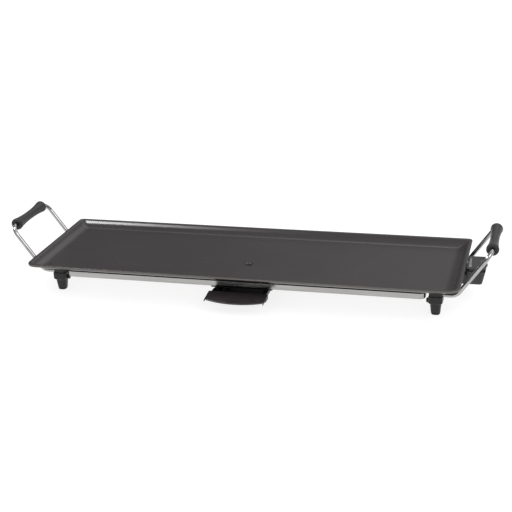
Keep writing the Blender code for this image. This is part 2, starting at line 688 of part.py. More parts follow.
def probe_housing_lower():
    shell = loft([
        probe_outline(1.0 * MM, PROBE_LOW, 4.9 * MM),
        probe_outline(0.0, PROBE_LOW + 1.0 * MM, 4.8 * MM),
        probe_outline(0.0, PROBE_SPLIT_LOW),
    ])
    nose = box((NOSE_FRONT_X, PROBE_Y - NOSE_HALF_Y, PROBE_LOW + 0.2 * MM),
               (PROBE_BACK_X + 1.0 * MM, PROBE_Y + NOSE_HALF_Y, NOSE_TOP))
    shoulder = box((SHOULDER.x, PROBE_Y - SHOULDER.y, PROBE_LOW + 0.2 * MM),
                   (PROBE_BACK_X + 1.2 * MM, PROBE_Y + SHOULDER.y, SHOULDER.z))
    cavity = loft([
        probe_outline(PROBE_WALL, PROBE_LOW + PROBE_WALL, 4.8 * MM),
        probe_outline(PROBE_WALL, PROBE_SPLIT_LOW + MM),
    ])
    tools = [cavity, rod_along_x(ROD_RADIUS + GAP, 300.0 * MM, 356.0 * MM, PROBE_Y, TERMINAL_Z)]
    tools += [
        rod_along_x(3.4 * MM, 300.0 * MM, 356.0 * MM, PROBE_Y + side * TERMINAL_PITCH, TERMINAL_Z)
        for side in (-1, 1)
    ]
    tools += [
        rod_along_z(1.2 * MM + GAP, PROBE_LOW - MM, PROBE_SPLIT_LOW + MM, x, y, 12)
        for _, x, y in probe_screw_places()
    ]
    tools.append(rod_along_y(4.3 * MM, PROBE_Y + 20.0 * MM, PROBE_Y + 30.0 * MM, GLAND_X, GLAND_Z))
    return cut(join(shell, nose, shoulder), *tools)


def probe_screw_places():
    for name, side in (("front", -1), ("back", 1)):
        yield name, PROBE_BACK_X + 5.6 * MM, PROBE_Y + side * 21.4 * MM


def probe_housing_upper():
    """The cover: a cap with a drawn-in skirt, open below, and a slot where the dial comes out."""
    inner = SKIRT_INSET + 1.6 * MM
    shell = loft([
        probe_outline(SKIRT_INSET, PROBE_SPLIT_LOW + GAP),
        probe_outline(SKIRT_INSET, PROBE_SPLIT_HIGH),
        probe_outline(0.3 * MM, PROBE_SPLIT_HIGH + 0.2 * MM),
        probe_outline(0.0, PROBE_SPLIT_HIGH + 0.5 * MM),
        probe_outline(0.3 * MM, PROBE_TOP - 0.6 * MM),
        probe_outline(1.2 * MM, PROBE_TOP),
    ])
    cavity = loft([
        probe_outline(inner, PROBE_SPLIT_LOW - MM),
        probe_outline(inner, PROBE_TOP - 1.5 * MM),
    ])
    posts = [
        rod_along_z(2.4 * MM, 38.0 * MM, PROBE_TOP - MM, x, y, 14)
        for _, x, y in probe_screw_places()
    ]
    holes = [
        rod_along_z(1.2 * MM + GAP, 37.0 * MM, PROBE_TOP - 2.5 * MM, x, y, 12)
        for _, x, y in probe_screw_places()
    ]
    dial_slot = rod_along_z(DIAL_RADIUS + 0.8 * MM, PROBE_SPLIT_LOW - MM, PROBE_SPLIT_HIGH + 0.1 * MM,
                            DIAL_X, PROBE_Y, 32)
    lamp_hole = rod_along_z(2.2 * MM, PROBE_TOP - 4.0 * MM, PROBE_TOP + MM, LAMP_X, LAMP_Y, 16)
    return cut(join(cut(shell, cavity), *posts), dial_slot, lamp_hole, *holes)


def temperature_dial():
    """A ribbed thumbwheel around Z with a hub bore below."""
    low = PROBE_SPLIT_LOW + 0.5 * MM
    high = PROBE_SPLIT_HIGH - 0.3 * MM
    points = DIAL_RIBS * 2
    turn = 2.0 * math.pi / points
    rings = []
    for height, inset in ((low, 0.8 * MM), (low + 0.8 * MM, 0.0), (high - 0.8 * MM, 0.0), (high, 0.8 * MM)):
        ring = []
        for k in range(points):
            radius = DIAL_RADIUS - inset - (0.5 * MM if k % 2 else 0.0)
            ring.append(Vector((radius * math.cos(k * turn), radius * math.sin(k * turn), height)))
        rings.append(ring)
    return cut(loft(rings), rod_along_z(2.0 * MM + GAP, low - MM, high - 1.5 * MM, 0.0, 0.0, 16))


def contact_socket():
    """A brass sleeve along Z that takes a terminal pin."""
    bore = PIN_RADIUS + GAP
    profile = ((3.1 * MM, 0.0), (3.1 * MM, 16.0 * MM), (bore, 16.0 * MM), (bore, 0.0))
    return turned(profile, 16, hollow=True)


def cord_gland():
    """A tapered bush along Z, with a flange inside the housing wall and a cone outside it."""
    bore = 3.0 * MM
    profile = ((5.0 * MM, -3.5 * MM), (5.0 * MM, -2.1 * MM), (4.0 * MM, -2.1 * MM), (4.0 * MM, GAP),
               (6.0 * MM, GAP), (6.0 * MM, 2.0 * MM), (4.4 * MM, 10.0 * MM), (bore, 10.0 * MM),
               (bore, -3.5 * MM))
    return turned(profile, 16, hollow=True)


def pilot_lens():
    profile = ((2.5 * MM, -2.9 * MM), (2.5 * MM, -1.8 * MM), (1.9 * MM, -1.8 * MM), (1.9 * MM, 0.1 * MM),
               (1.3 * MM, 0.5 * MM))
    return turned(profile, 16)


def neon_lamp():
    return turned(((1.2 * MM, 0.0), (1.4 * MM, 0.3 * MM), (1.4 * MM, 0.9 * MM), (0.8 * MM, 1.4 * MM)), 14)


# ---------------------------------------------------------------- assembly

def add_plate_and_shield(root, finish):
    place("griddle_plate", griddle_plate(), finish["nonstick"], root)
    place("heat_shield_pan", heat_shield_pan(), finish["brushed_steel"], root)
    place("tray_bracket", tray_bracket(), finish["tray_enamel"], root)
    for name, side_x, side_y in corner_names():
        screw = pan_head_screw(1.5 * MM, 3.2 * MM, 1.8 * MM, 12.0 * MM)
        place("pan_screw_" + name, screw, finish["zinc"], root,
              (side_x * STUD.x, side_y * STUD.y, PAN_LOW - GAP))
    for name, x, y in bracket_screw_places():
        screw = pan_head_screw(1.2 * MM, 2.2 * MM, 1.4 * MM, 4.5 * MM, 12)
        place("bracket_screw_" + name, screw, finish["zinc"], root, (x, y, BRACKET_TOP - 1.2 * MM - GAP))


def add_tray(root, finish):
    slide = make_empty("drip_tray_slide", (TRAY_X, TUB_FRONT, TRAY_RIM), root)
    tray = place("drip_tray", drip_tray(), finish["tray_enamel"], slide)
    tray.location = -slide.location


def add_feet(root, finish):
    for name, side_x, side_y in corner_names():
        spot = (side_x * FOOT_X, side_y * FOOT_Y, 0.0)
        place("foot_" + name, foot(side_x, side_y), finish["black_plastic"], root, spot)
        place("foot_tip_" + name, foot_tip(), finish["rubber"], root, spot)
        screw = pan_head_screw(SCREW_SHANK, 3.5 * MM, 2.4 * MM, 11.8 * MM)
        place("foot_screw_" + name, screw, finish["zinc"], root, (spot[0], spot[1], FOOT_LEDGE_LOW - GAP))
        reach = side_y * (FOOT_Y - WIRE_RADIUS - GAP)
        place("handle_set_screw_" + name, grub_screw(), finish["zinc"], root,
              (side_x * (FOOT_X + GRUB_X), reach, WIRE_LOW_Z), (side_y * math.pi / 2.0, 0.0, 0.0))


def add_handles(root, finish):
    for side, hand in ((-1, "left"), (1, "right")):
        place("handle_wire_" + hand, handle_wire(side), finish["chrome"], root)
        place("handle_grip_" + hand, handle_grip(), finish["black_plastic"], root,
              (side * GRIP_X, 0.0, GRIP_Z), (-math.pi / 2.0, 0.0, 0.0))


def add_element(root, finish):
    along_x = (0.0, math.pi / 2.0, 0.0)
    place("heating_element", heating_element(), finish["element_steel"], root)
    for name, side in (("front", -1), ("back", 1)):
        y = PROBE_Y + side * TERMINAL_PITCH
        place("terminal_pin_" + name, terminal_pin(), finish["brass"], root,
              (TUBE_END_X + GAP, y, TERMINAL_Z), along_x)
        place("insulator_" + name, insulator(), finish["ceramic"], root,
              (TUBE_END_X + GAP, y, TERMINAL_Z), along_x)
    for name, x, y in guard_screw_places():
        screw = pan_head_screw(1.2 * MM, 2.2 * MM, 1.4 * MM, 3.0 * MM, 12)
        place("guard_screw_" + name, screw, finish["zinc"], root, (x, y, PLATE_UNDER - SHEET - 2.0 * GAP))
    place("socket_guard", socket_guard(), finish["brushed_steel"], root)
    clamp_top = TUBE_Z - TUBE_RADIUS - GAP
    for side, hand in ((-1, "left"), (1, "right")):
        place("element_clamp_" + hand, element_clamp(), finish["zinc"], root,
              (side * CLAMP_X, 0.0, clamp_top))
        screw = pan_head_screw(1.5 * MM, 3.2 * MM, 1.8 * MM, 7.5 * MM)
        place("clamp_screw_" + hand, screw, finish["zinc"], root,
              (side * CLAMP_X, 0.0, clamp_top - CLAMP_THICK - GAP))


def add_probe(root, finish):
    along_x = (0.0, math.pi / 2.0, 0.0)
    slide = make_empty("probe_slide", (NOSE_FRONT_X, PROBE_Y, TERMINAL_Z), root)
    frame = make_empty("probe_frame", -slide.location, slide)
    plastic = finish["black_plastic"]
    place("probe_housing_lower", probe_housing_lower(), plastic, frame)
    place("probe_housing_upper", probe_housing_upper(), plastic, frame)
    rod = turned(((1.2 * MM, 0.0), (ROD_RADIUS, 1.5 * MM), (ROD_RADIUS, 353.0 * MM - ROD_TIP_X)), 16)
    place("sensor_rod", rod, finish["zinc"], frame, (ROD_TIP_X, PROBE_Y, TERMINAL_Z), along_x)
    for name, side in (("front", -1), ("back", 1)):
        place("contact_socket_" + name, contact_socket(), finish["brass"], frame,
              (NOSE_FRONT_X + 2.0 * MM, PROBE_Y + side * TERMINAL_PITCH, TERMINAL_Z), along_x)
    floor = PROBE_LOW + PROBE_WALL + GAP
    switch = box((DIAL_X - 11.0 * MM, PROBE_Y - 8.0 * MM, floor),
                 (DIAL_X + 5.5 * MM, PROBE_Y + 8.0 * MM, 46.0 * MM))
    place("thermostat_switch", switch, finish["ceramic"], frame)
    block = box((DIAL_X - 8.0 * MM, PROBE_Y - 21.0 * MM, floor),
                (DIAL_X + 4.5 * MM, PROBE_Y - 11.0 * MM, 39.5 * MM))
    place("terminal_block", block, finish["ceramic"], frame)
    for name, x, y in probe_screw_places():
        screw = pan_head_screw(1.2 * MM, 2.2 * MM, 1.4 * MM, 19.5 * MM, 12)
        place("probe_screw_" + name, screw, finish["zinc"], frame, (x, y, PROBE_LOW - GAP))
    place("cord_gland", cord_gland(), finish["rubber"], frame,
          (GLAND_X, PROBE_Y + PROBE_HALF_Y, GLAND_Z), (-math.pi / 2.0, 0.0, 0.0))
    place("pilot_lens", pilot_lens(), finish["lens_red"], frame, (LAMP_X, LAMP_Y, PROBE_TOP))
    place("neon_lamp", neon_lamp(), finish["clear_glass"], frame, (LAMP_X, LAMP_Y, PROBE_TOP - 5.1 * MM))
    place("temperature_dial", temperature_dial(), plastic, frame, (DIAL_X, PROBE_Y, 0.0))
    spindle = turned(((2.0 * MM, 46.3 * MM), (2.0 * MM, PROBE_SPLIT_HIGH - 2.1 * MM)), 16)
    place("dial_spindle", spindle, finish["brass"], frame, (DIAL_X, PROBE_Y, 0.0))


def main():
    clear_scene()
    finish = make_finishes()
    root = make_empty("griddle", (0.0, ROOT_OFFSET_Y, 0.0))
    add_plate_and_shield(root, finish)
    add_tray(root, finish)
    add_feet(root, finish)
    add_handles(root, finish)
    add_element(root, finish)
    add_probe(root, finish)


main()
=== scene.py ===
"""Looks of the electric griddle: detailed pieces round the CAD frame, finishes, studio and camera."""

import json
import math

import bmesh
import bpy
import numpy as np
from mathutils import Matrix, Vector

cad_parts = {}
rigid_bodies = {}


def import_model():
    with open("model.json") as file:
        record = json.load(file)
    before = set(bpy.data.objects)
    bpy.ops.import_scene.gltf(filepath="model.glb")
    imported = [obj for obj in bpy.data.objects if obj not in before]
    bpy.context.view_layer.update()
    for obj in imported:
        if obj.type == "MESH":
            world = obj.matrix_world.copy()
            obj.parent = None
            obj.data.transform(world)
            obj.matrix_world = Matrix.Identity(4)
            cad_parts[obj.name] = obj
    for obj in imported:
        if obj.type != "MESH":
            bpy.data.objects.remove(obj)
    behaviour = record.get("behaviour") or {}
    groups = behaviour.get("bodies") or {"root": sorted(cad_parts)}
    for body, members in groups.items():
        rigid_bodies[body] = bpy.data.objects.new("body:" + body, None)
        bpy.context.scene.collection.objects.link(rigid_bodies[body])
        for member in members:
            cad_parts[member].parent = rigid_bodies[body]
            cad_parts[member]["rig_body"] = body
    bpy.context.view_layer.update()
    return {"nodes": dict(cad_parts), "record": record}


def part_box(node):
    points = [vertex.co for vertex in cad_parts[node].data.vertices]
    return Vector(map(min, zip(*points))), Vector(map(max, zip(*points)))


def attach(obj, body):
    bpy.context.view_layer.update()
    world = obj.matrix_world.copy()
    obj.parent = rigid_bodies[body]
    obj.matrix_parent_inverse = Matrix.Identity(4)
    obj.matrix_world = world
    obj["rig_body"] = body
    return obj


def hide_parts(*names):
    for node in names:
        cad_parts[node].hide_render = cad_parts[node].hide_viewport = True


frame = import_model()

MM = 0.001
GAP = 0.3 * MM  # clearance between pieces that touch
SLOT_OF = {part["node"]: part["material_slot"] for part in frame["record"]["subparts"]}
OPENINGS = {opening["name"]: opening["box_m"] for opening in frame["record"]["physics"]["openings"]}
CORNERS = [
    (depth + "_" + hand, side_x, side_y)
    for depth, side_y in (("front", -1), ("back", 1))
    for hand, side_x in (("left", -1), ("right", 1))
]
ENDS = ("front", "back")
HANDS = (("left", -1), ("right", 1))


def span(node):
    """Lowest corner, highest corner and middle of a CAD node."""
    low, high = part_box(node)
    return low, high, (low + high) / 2.0


PLATE_LOW, PLATE_HIGH, PLATE_MIDDLE = span("griddle_plate")
DRAIN = sum(map(Vector, OPENINGS["drain_hole"]), Vector()) / 2.0
RIM_TOP = PLATE_HIGH.z
COOK_TOP = RIM_TOP - 10.0 * MM
#  the handle lip's ends: distance from its middle and distance behind its nose, in millimetres
LIP_EAR = ((45.7, 8.5), (46.3, 17.0), (47.3, 3.5), (48.0, 4.5), (48.6, 13.0))
PLATE_UNDER = COOK_TOP - 3.5 * MM


# ---- camera, floor and light

def new_object(name, data):
    thing = bpy.data.objects.new(name, data)
    bpy.context.scene.collection.objects.link(thing)
    return thing


def make_camera():
    azimuth, elevation, roll = (math.radians(angle) for angle in (15.71, 20.85, -2.39))
    aim = Vector((14.82, -14.75, 60.53)) * MM
    distance = 1.8616
    back = Vector((math.sin(azimuth) * math.cos(elevation), -math.cos(azimuth) * math.cos(elevation),
                   math.sin(elevation)))
    level = Vector((math.cos(azimuth), math.sin(azimuth), 0.0))
    right = level * math.cos(roll) + back.cross(level) * math.sin(roll)
    turn = Matrix((right, back.cross(right), back)).transposed()
    camera = new_object("camera", bpy.data.cameras.new("camera"))
    camera.data.lens = 80.74
    camera.data.sensor_width = 36.0
    camera.data.clip_end = 60.0
    camera.matrix_world = Matrix.Translation(aim + back * distance) @ turn.to_4x4()
    bpy.context.scene.camera = camera


def make_floor():
    """A white floor that is clear from below, so that the underside can be seen."""
    half = 14.0
    mesh = bpy.data.meshes.new("floor")
    corners = [(-half, -half, 0.0), (half, -half, 0.0), (half, half, 0.0), (-half, half, 0.0)]
    mesh.from_pydata(corners, [], [(0, 1, 2, 3)])
    floor = new_object("floor", mesh)
    floor.location.z = -0.1 * MM
    material = bpy.data.materials.new("floor")
    material.use_nodes = True
    nodes, links = material.node_tree.nodes, material.node_tree.links
    shader = nodes["Principled BSDF"]
    for socket, value in (("Base Color", (0.27, 0.27, 0.27, 1.0)), ("Emission Color", (1.0, 1.0, 1.0, 1.0)),
                          ("Emission Strength", 0.82), ("Roughness", 0.75), ("Specular IOR Level", 0.2)):
        shader.inputs[socket].default_value = value
    side = nodes.new("ShaderNodeNewGeometry").outputs["Backfacing"]
    clear = nodes.new("ShaderNodeBsdfTransparent").outputs["BSDF"]
    mix = nodes.new("ShaderNodeMixShader")
    for source, target in ((side, 0), (shader.outputs["BSDF"], 1), (clear, 2)):
        links.new(source, mix.inputs[target])
    links.new(mix.outputs["Shader"], nodes["Material Output"].inputs["Surface"])
    mesh.materials.append(material)


def make_world():
    """Even white light, with dark low walls and a bright ring above them in the reflections."""
    world = bpy.data.worlds.new("studio")
    bpy.context.scene.world = world
    world.use_nodes = True
    nodes, links = world.node_tree.nodes, world.node_tree.links
    direction = nodes.new("ShaderNodeTexCoord").outputs["Generated"]
    split = nodes.new("ShaderNodeSeparateXYZ")
    links.new(direction, split.inputs["Vector"])
    walls = nodes.new("ShaderNodeValToRGB")
    ramp = walls.color_ramp
    for end, grey in zip(ramp.elements, (0.15, 0.35)):
        end.color = (grey, grey, grey, 1.0)
    for height, grey in ((0.52, 0.16), (0.58, 0.75), (0.70, 0.75), (0.78, 0.30)):
        ramp.elements.new(height).color = (grey, grey, grey, 1.0)
    links.new(split.outputs["Z"], walls.inputs["Fac"])
    rise = nodes.new("ShaderNodeMapRange")
    for socket, number in zip(rise.inputs[1:5], (-0.32, 0.0, 1.0, 2.5)):
        socket.default_value = number
    links.new(split.outputs["X"], rise.inputs["Value"])
    lifted = nodes.new("ShaderNodeVectorMath")
    lifted.operation = "SCALE"
    links.new(walls.outputs["Color"], lifted.inputs[0])
    links.new(rise.outputs["Result"], lifted.inputs["Scale"])
    seen = nodes.new("ShaderNodeLightPath").outputs["Is Glossy Ray"]
    mix = nodes.new("ShaderNodeMix")
    mix.data_type = "RGBA"
    mix.inputs[6].default_value = (1.0, 1.0, 1.0, 1.0)
    links.new(seen, mix.inputs[0])
    links.new(lifted.outputs["Vector"], mix.inputs[7])
    links.new(mix.outputs[2], nodes["Background"].inputs["Color"])
    nodes["Background"].inputs["Strength"].default_value = 1.05


def add_light(name, place, aim, size, power):
    data = bpy.data.lights.new(name, "AREA")
    data.shape = "RECTANGLE"
    data.size, data.size_y = size
    data.energy = power
    light = new_object(name, data)
    light.location = place
    light.rotation_euler = (Vector(aim) - Vector(place)).to_track_quat("-Z", "Y").to_euler()
    light.visible_camera = False
    return light


def make_studio():
    make_floor()
    make_world()
    panels = (("bright", -1.20, -0.90, 44.0), ("middle", -0.90, -0.76, 18.0), ("dim", -0.76, -0.62, 5.0),
              ("faint", -0.62, -0.48, 2.2))
    depth = 0.40
    for name, left, right, radiance in panels:
        place = Vector(((left + right) / 2.0, -0.33, 1.5))
        width = right - left
        power = radiance * math.pi * width * depth
        panel = add_light("panel_" + name, place, place - Vector((0.0, 0.0, 1.0)), (width, depth), power)
        panel.visible_diffuse = False
    add_light("key", (1.6, -1.3, 1.9), (0.1, 0.0, 0.0), (1.2, 1.2), 16.0)
    bpy.context.scene.view_settings.view_transform = "Standard"


# ---- finishes

class Finish:
    """A Principled material with short ways to add to its node tree; patterns are in metres."""

    def __init__(self, name, metallic=0.0, **sockets):
        self.slot = name
        self.material = bpy.data.materials.new(name)
        self.material.use_nodes = True
        self.nodes = self.material.node_tree.nodes
        self.links = self.material.node_tree.links
        self.shader = self.nodes["Principled BSDF"]
        self.shader.inputs["Metallic"].default_value = metallic
        for socket, value in sockets.items():
            self.shader.inputs[socket.replace("_", " ")].default_value = value
        self.place = self.nodes.new("ShaderNodeTexCoord").outputs["Object"]

    def feed(self, socket, value):
        if isinstance(value, bpy.types.NodeSocket):
            self.links.new(value, socket)
        else:
            socket.default_value = (*value, 1.0) if isinstance(value, tuple) else value

    def scaled(self, size, stretch):
        node = self.nodes.new("ShaderNodeMapping")
        node.inputs["Scale"].default_value = [share / size for share in stretch]
        self.feed(node.inputs["Vector"], self.place)
        return node.outputs["Vector"]

    def noise(self, size, detail=3.0, stretch=(1.0, 1.0, 1.0)):
        node = self.nodes.new("ShaderNodeTexNoise")
        node.inputs["Scale"].default_value = 1.0
        node.inputs["Detail"].default_value = detail
        self.feed(node.inputs["Vector"], self.scaled(size, stretch))
        return node.outputs["Fac"]

    def cells(self, size):
        node = self.nodes.new("ShaderNodeTexVoronoi")
        node.inputs["Scale"].default_value = 1.0
        self.feed(node.inputs["Vector"], self.scaled(size, (1.0, 1.0, 1.0)))
        return node.outputs["Distance"]

    def along(self, axis):
        node = self.nodes.new("ShaderNodeSeparateXYZ")
        self.feed(node.inputs["Vector"], self.place)
        return node.outputs[axis]

    def spread(self, value, low=0.0, high=1.0, start=0.3, end=0.7):
        node = self.nodes.new("ShaderNodeMapRange")
        for socket, number in zip(node.inputs[1:5], (start, end, low, high)):
            socket.default_value = number
        self.feed(node.inputs["Value"], value)
        return node.outputs["Result"]

    def blend(self, share, first, second):
        node = self.nodes.new("ShaderNodeMix")
        node.data_type = "RGBA"
        for index, value in ((0, share), (6, first), (7, second)):
            self.feed(node.inputs[index], value)
        return node.outputs[2]

    def times(self, first, second):
        node = self.nodes.new("ShaderNodeMath")
        node.operation = "MULTIPLY"
        self.feed(node.inputs[0], first)
        self.feed(node.inputs[1], second)
        return node.outputs["Value"]

    def bump(self, height, depth):
        """Lay a relief over the ones before it; depth is in metres."""
        node = self.nodes.new("ShaderNodeBump")
        node.inputs["Distance"].default_value = depth
        self.feed(node.inputs["Height"], height)
        last = self.shader.inputs["Normal"]
        if last.is_linked:
            self.links.new(last.links[0].from_socket, node.inputs["Normal"])
        self.links.new(node.outputs["Normal"], last)

    def colour(self, value):
        self.feed(self.shader.inputs["Base Color"], value)

    def mottle(self, pattern, first, second):
        self.colour(self.blend(self.spread(pattern), first, second))

    def roughness(self, value):
        self.feed(self.shader.inputs["Roughness"], value)


def warm(level, tint=(1.0, 0.955, 0.955)):
    return tuple(level * share for share in tint)


def nonstick():
    """Sprayed coating: fine orange peel, tiny pale flecks, and faint wiping marks along the plate."""
    finish = Finish("nonstick", Specular_IOR_Level=0.42)
    tint = (1.0, 0.87, 0.90)
    blotch = finish.noise(0.09, 5.0)
    wipe = finish.noise(0.03, 4.0, (0.3, 1.0, 1.0))
    tone = finish.blend(finish.spread(blotch), warm(0.030, tint), warm(0.034, tint))
    tone = finish.blend(finish.spread(wipe, 0.0, 0.1), tone, warm(0.045, tint))
    fleck = finish.spread(finish.cells(0.0019), 0.40, 0.0, 0.07, 0.14)
    patch = finish.spread(finish.noise(0.006), 0.0, 1.0, 0.42, 0.6)
    finish.colour(finish.blend(finish.times(fleck, patch), tone, (0.13, 0.12, 0.12)))
    finish.roughness(finish.spread(wipe, 0.24, 0.28))
    finish.bump(finish.noise(0.0009, 2.0), 0.016 * MM)
    finish.bump(finish.noise(0.007, 2.0), 0.03 * MM)
    return finish


def speckled(name, pattern, tones, dullness, depth=0.0, relief=None, **sockets):
    """A finish whose colour and dullness follow one noise, and whose relief follows that or another."""
    finish = Finish(name, **sockets)
    speck = finish.noise(*pattern)
    finish.mottle(speck, *tones)
    finish.roughness(finish.spread(speck, *dullness))
    if depth:
        finish.bump(finish.noise(*relief) if relief else speck, depth)
    return finish


def rim_edge():
    """The plate's outer edge, painted lighter than the coating as a painted highlight where the light from
    the front catches it.
    """
    fine_bands = (0.0008, 3.0, (0.05, 0.05, 1.0))
    tones = (0.080, 0.072, 0.068), (0.118, 0.106, 0.100)
    return speckled("rim_edge", fine_bands, tones, (0.38, 0.50), 0.004 * MM, Specular_IOR_Level=0.35)


def brushed(name, low, high, roughness, anisotropic=0.7):
    """Sheet brushed along X, whose reflections are drawn out across the brushing."""
    finish = Finish(name, metallic=1.0, Anisotropic=anisotropic)
    tangent = finish.nodes.new("ShaderNodeTangent")
    tangent.direction_type = "RADIAL"
    tangent.axis = "X"
    finish.links.new(tangent.outputs["Tangent"], finish.shader.inputs["Tangent"])
    streak = finish.noise(0.0005, 4.0, (0.012, 1.0, 1.0))
    cloud = finish.noise(0.05, 3.0, (0.5, 1.0, 1.0))
    dull, bright = warm(low, (1.0, 0.985, 0.96)), warm(high, (1.0, 0.99, 0.97))
    tone = finish.blend(finish.spread(streak), dull, bright)
    finish.colour(finish.blend(finish.spread(cloud, 0.0, 0.25), tone, warm(low * 0.8, (1.0, 0.97, 0.93))))
    rub = finish.noise(0.004, 3.0, (0.1, 1.0, 1.0))
    finish.roughness(finish.spread(rub, roughness - 0.05, roughness + 0.08))
    finish.bump(streak, 0.006 * MM)
    return finish


def pan_inside():
    """The pan's inner side, dulled by the heat of the element."""
    tones = (0.085, 0.075, 0.068), (0.15, 0.135, 0.12)
    rolled = (0.0008, 3.0, (0.05, 1.0, 1.0))
    return speckled("pan_inside", (0.03, 5.0), tones, (0.42, 0.58), 0.006 * MM, rolled, metallic=1.0)


def enamel(name, level, roughness):
    """Stoved black enamel with a soft orange peel and rubbed patches."""
    tones = warm(level, (1.05, 0.86, 1.0)), warm(level * 1.5, (1.05, 0.88, 0.95))
    dullness = (roughness - 0.04, roughness + 0.08)
    return speckled(name, (0.014, 4.0), tones, dullness, 0.02 * MM, (0.0016, 2.0), Specular_IOR_Level=0.5)


def moulded(name, level, roughness, grain, depth, **sockets):
    """Spark-textured plastic with slightly polished patches; the pits are painted darker as painted shade.
    """
    finish = Finish(name, **sockets)
    handled = finish.noise(0.011, 4.0)
    pit_depth_and_shade = finish.cells(grain)
    tone = finish.blend(finish.spread(handled), warm(level), warm(level * 1.28))
    # painted shade: the colour darkens towards the bottom of each pit
    finish.colour(finish.blend(finish.spread(pit_depth_and_shade, 0.3, 0.0, 0.1, 0.5), tone, warm(level * 0.6)))
    finish.roughness(finish.spread(handled, roughness - 0.05, roughness + 0.06))
    finish.bump(pit_depth_and_shade, depth)
    finish.bump(finish.noise(grain * 1.7, 2.0), depth)
    return finish


def chrome():
    """Polished plating with hairline scratches and a few dull smudges."""
    tones = (0.37, 0.36, 0.355), (0.45, 0.445, 0.45)
    scratches = (0.0004, 2.0, (1.0, 0.05, 1.0))
    return speckled("chrome", (0.009, 4.0), tones, (0.14, 0.06), 0.0015 * MM, scratches, metallic=1.0)


def plated(name, tones, roughness):
    """Bright plated or machined metal with a slight cast of a second colour."""
    dullness = (roughness - 0.06, roughness + 0.1)
    return speckled(name, (0.003, 4.0), tones, dullness, 0.004 * MM, (0.0003,), metallic=1.0)


def element_steel():
    """Heat-darkened sheath, straw and blue towards the cold ends."""
    finish = Finish("element_steel", metallic=1.0)
    scale = finish.noise(0.004, 5.0)
    tone = finish.blend(finish.spread(scale), (0.075, 0.068, 0.062), (0.16, 0.145, 0.13))
    heat = finish.along("X")
    for start, end, colour in ((0.262, 0.276, (0.14, 0.15, 0.23)), (0.272, 0.286, (0.42, 0.31, 0.17)),
                               (0.284, 0.297, (0.50, 0.48, 0.45))):
        tone = finish.blend(finish.spread(heat, 0.0, 1.0, start, end), tone, colour)
    finish.colour(tone)
    finish.roughness(finish.spread(scale, 0.36, 0.55))
    finish.bump(scale, 0.02 * MM)
    return finish


def ceramic():
    tones = (0.68, 0.64, 0.55), (0.80, 0.77, 0.70)
    return speckled("ceramic", (0.0008,), tones, (0.45, 0.62), 0.01 * MM)


def clear(name, colour, roughness, transmission):
    """Tinted clear plastic or glass with faint haze."""
    tones = colour, tuple(0.8 * share for share in colour)
    dullness = (roughness, roughness + 0.08)
    return speckled(name, (0.0012,), tones, dullness, Transmission_Weight=transmission, IOR=1.49)


def printed():
    """White pad printing, a little thin in places."""
    finish = Finish("print")
    thin = finish.noise(0.0007)
    finish.mottle(thin, (0.62, 0.62, 0.60), (0.80, 0.80, 0.78))
    finish.roughness(0.5)
    return finish


def make_finishes():
    made = [
        nonstick(),
        brushed("brushed_steel", 0.35, 0.48, 0.22, anisotropic=0.5),
        brushed("guard_steel", 0.42, 0.52, 0.36),
        enamel("bracket_enamel", 0.012, 0.36),
        enamel("tray_enamel", 0.024, 0.36),
        plated("zinc", ((0.62, 0.62, 0.60), (0.56, 0.57, 0.62)), 0.30),
        brushed("sensor_steel", 0.55, 0.66, 0.24),
        moulded("foot_plastic", 0.017, 0.44, 0.0007, 0.018 * MM, Specular_IOR_Level=0.3),
        moulded("rubber", 0.014, 0.78, 0.0010, 0.03 * MM),
        chrome(),
        moulded("grip_plastic", 0.024, 0.46, 0.0008, 0.02 * MM, Specular_IOR_Level=0.35),
        element_steel(),
        plated("brass", ((0.72, 0.52, 0.24), (0.62, 0.42, 0.20)), 0.26),
        ceramic(),
        moulded("probe_plastic", 0.046, 0.48, 0.0009, 0.025 * MM, Specular_IOR_Level=0.25),
        moulded("dial_plastic", 0.022, 0.36, 0.0006, 0.010 * MM),
        clear("lens", (0.085, 0.014, 0.013), 0.12, 0.30),
        clear("lamp_glass", (0.90, 0.84, 0.74), 0.03, 0.9),
    ]
    return {finish.slot: finish.material for finish in made}


# ---- mesh tools

def mm(*rows):
    """Points given in millimetres."""
    return [tuple(value * MM for value in row) for row in rows]


def softened(points, reach, steps=4, closed=False):
    """Turn a polyline's corners into arcs that start `reach` millimetres away from each corner.

    Lengths are measured in the first two numbers of a point; further numbers follow along.
    """
    points = [np.array(point, float) for point in points]
    count = len(points)
    reaches = reach if isinstance(reach, list) else [reach] * count
    smooth = []
    for k, corner in enumerate(points):
        before, after = points[k - 1], points[(k + 1) % count]
        if reaches[k] <= 0.0 or (not closed and k in (0, count - 1)):
            smooth.append(corner)
            continue
        lengths = [np.linalg.norm((other - corner)[:2]) for other in (before, after)]
        ways = [(other - corner) / length for other, length in zip((before, after), lengths)]
        start, end = (corner + way * min(reaches[k] * MM, 0.48 * length)
                      for way, length in zip(ways, lengths))
        turning = math.acos(max(-1.0, min(1.0, -float(ways[0][:2] @ ways[1][:2]))))
        weight = math.cos(turning / 2.0)
        for step in range(steps + 1):
            t = step / steps
            shares = ((1.0 - t) ** 2, 2.0 * weight * t * (1.0 - t), t * t)
            smooth.append((shares[0] * start + shares[1] * corner + shares[2] * end) / sum(shares))
    return smooth


def profiled(steps, *rows):
    """Round a profile; in a row the height, which is second, is in metres and the rest in millimetres.

    The last number of a row is the reach of its rounding.
    """
    points = [(inset * MM, height, *(radius * MM for radius in radii)) for inset, height, *radii, _ in rows]
    return softened(points, [row[-1] for row in rows], steps)


def new_mesh(bm):
    bmesh.ops.recalc_face_normals(bm, faces=bm.faces)
    mesh = bpy.data.meshes.new("piece")
    bm.to_mesh(mesh)
    bm.free()
    return mesh


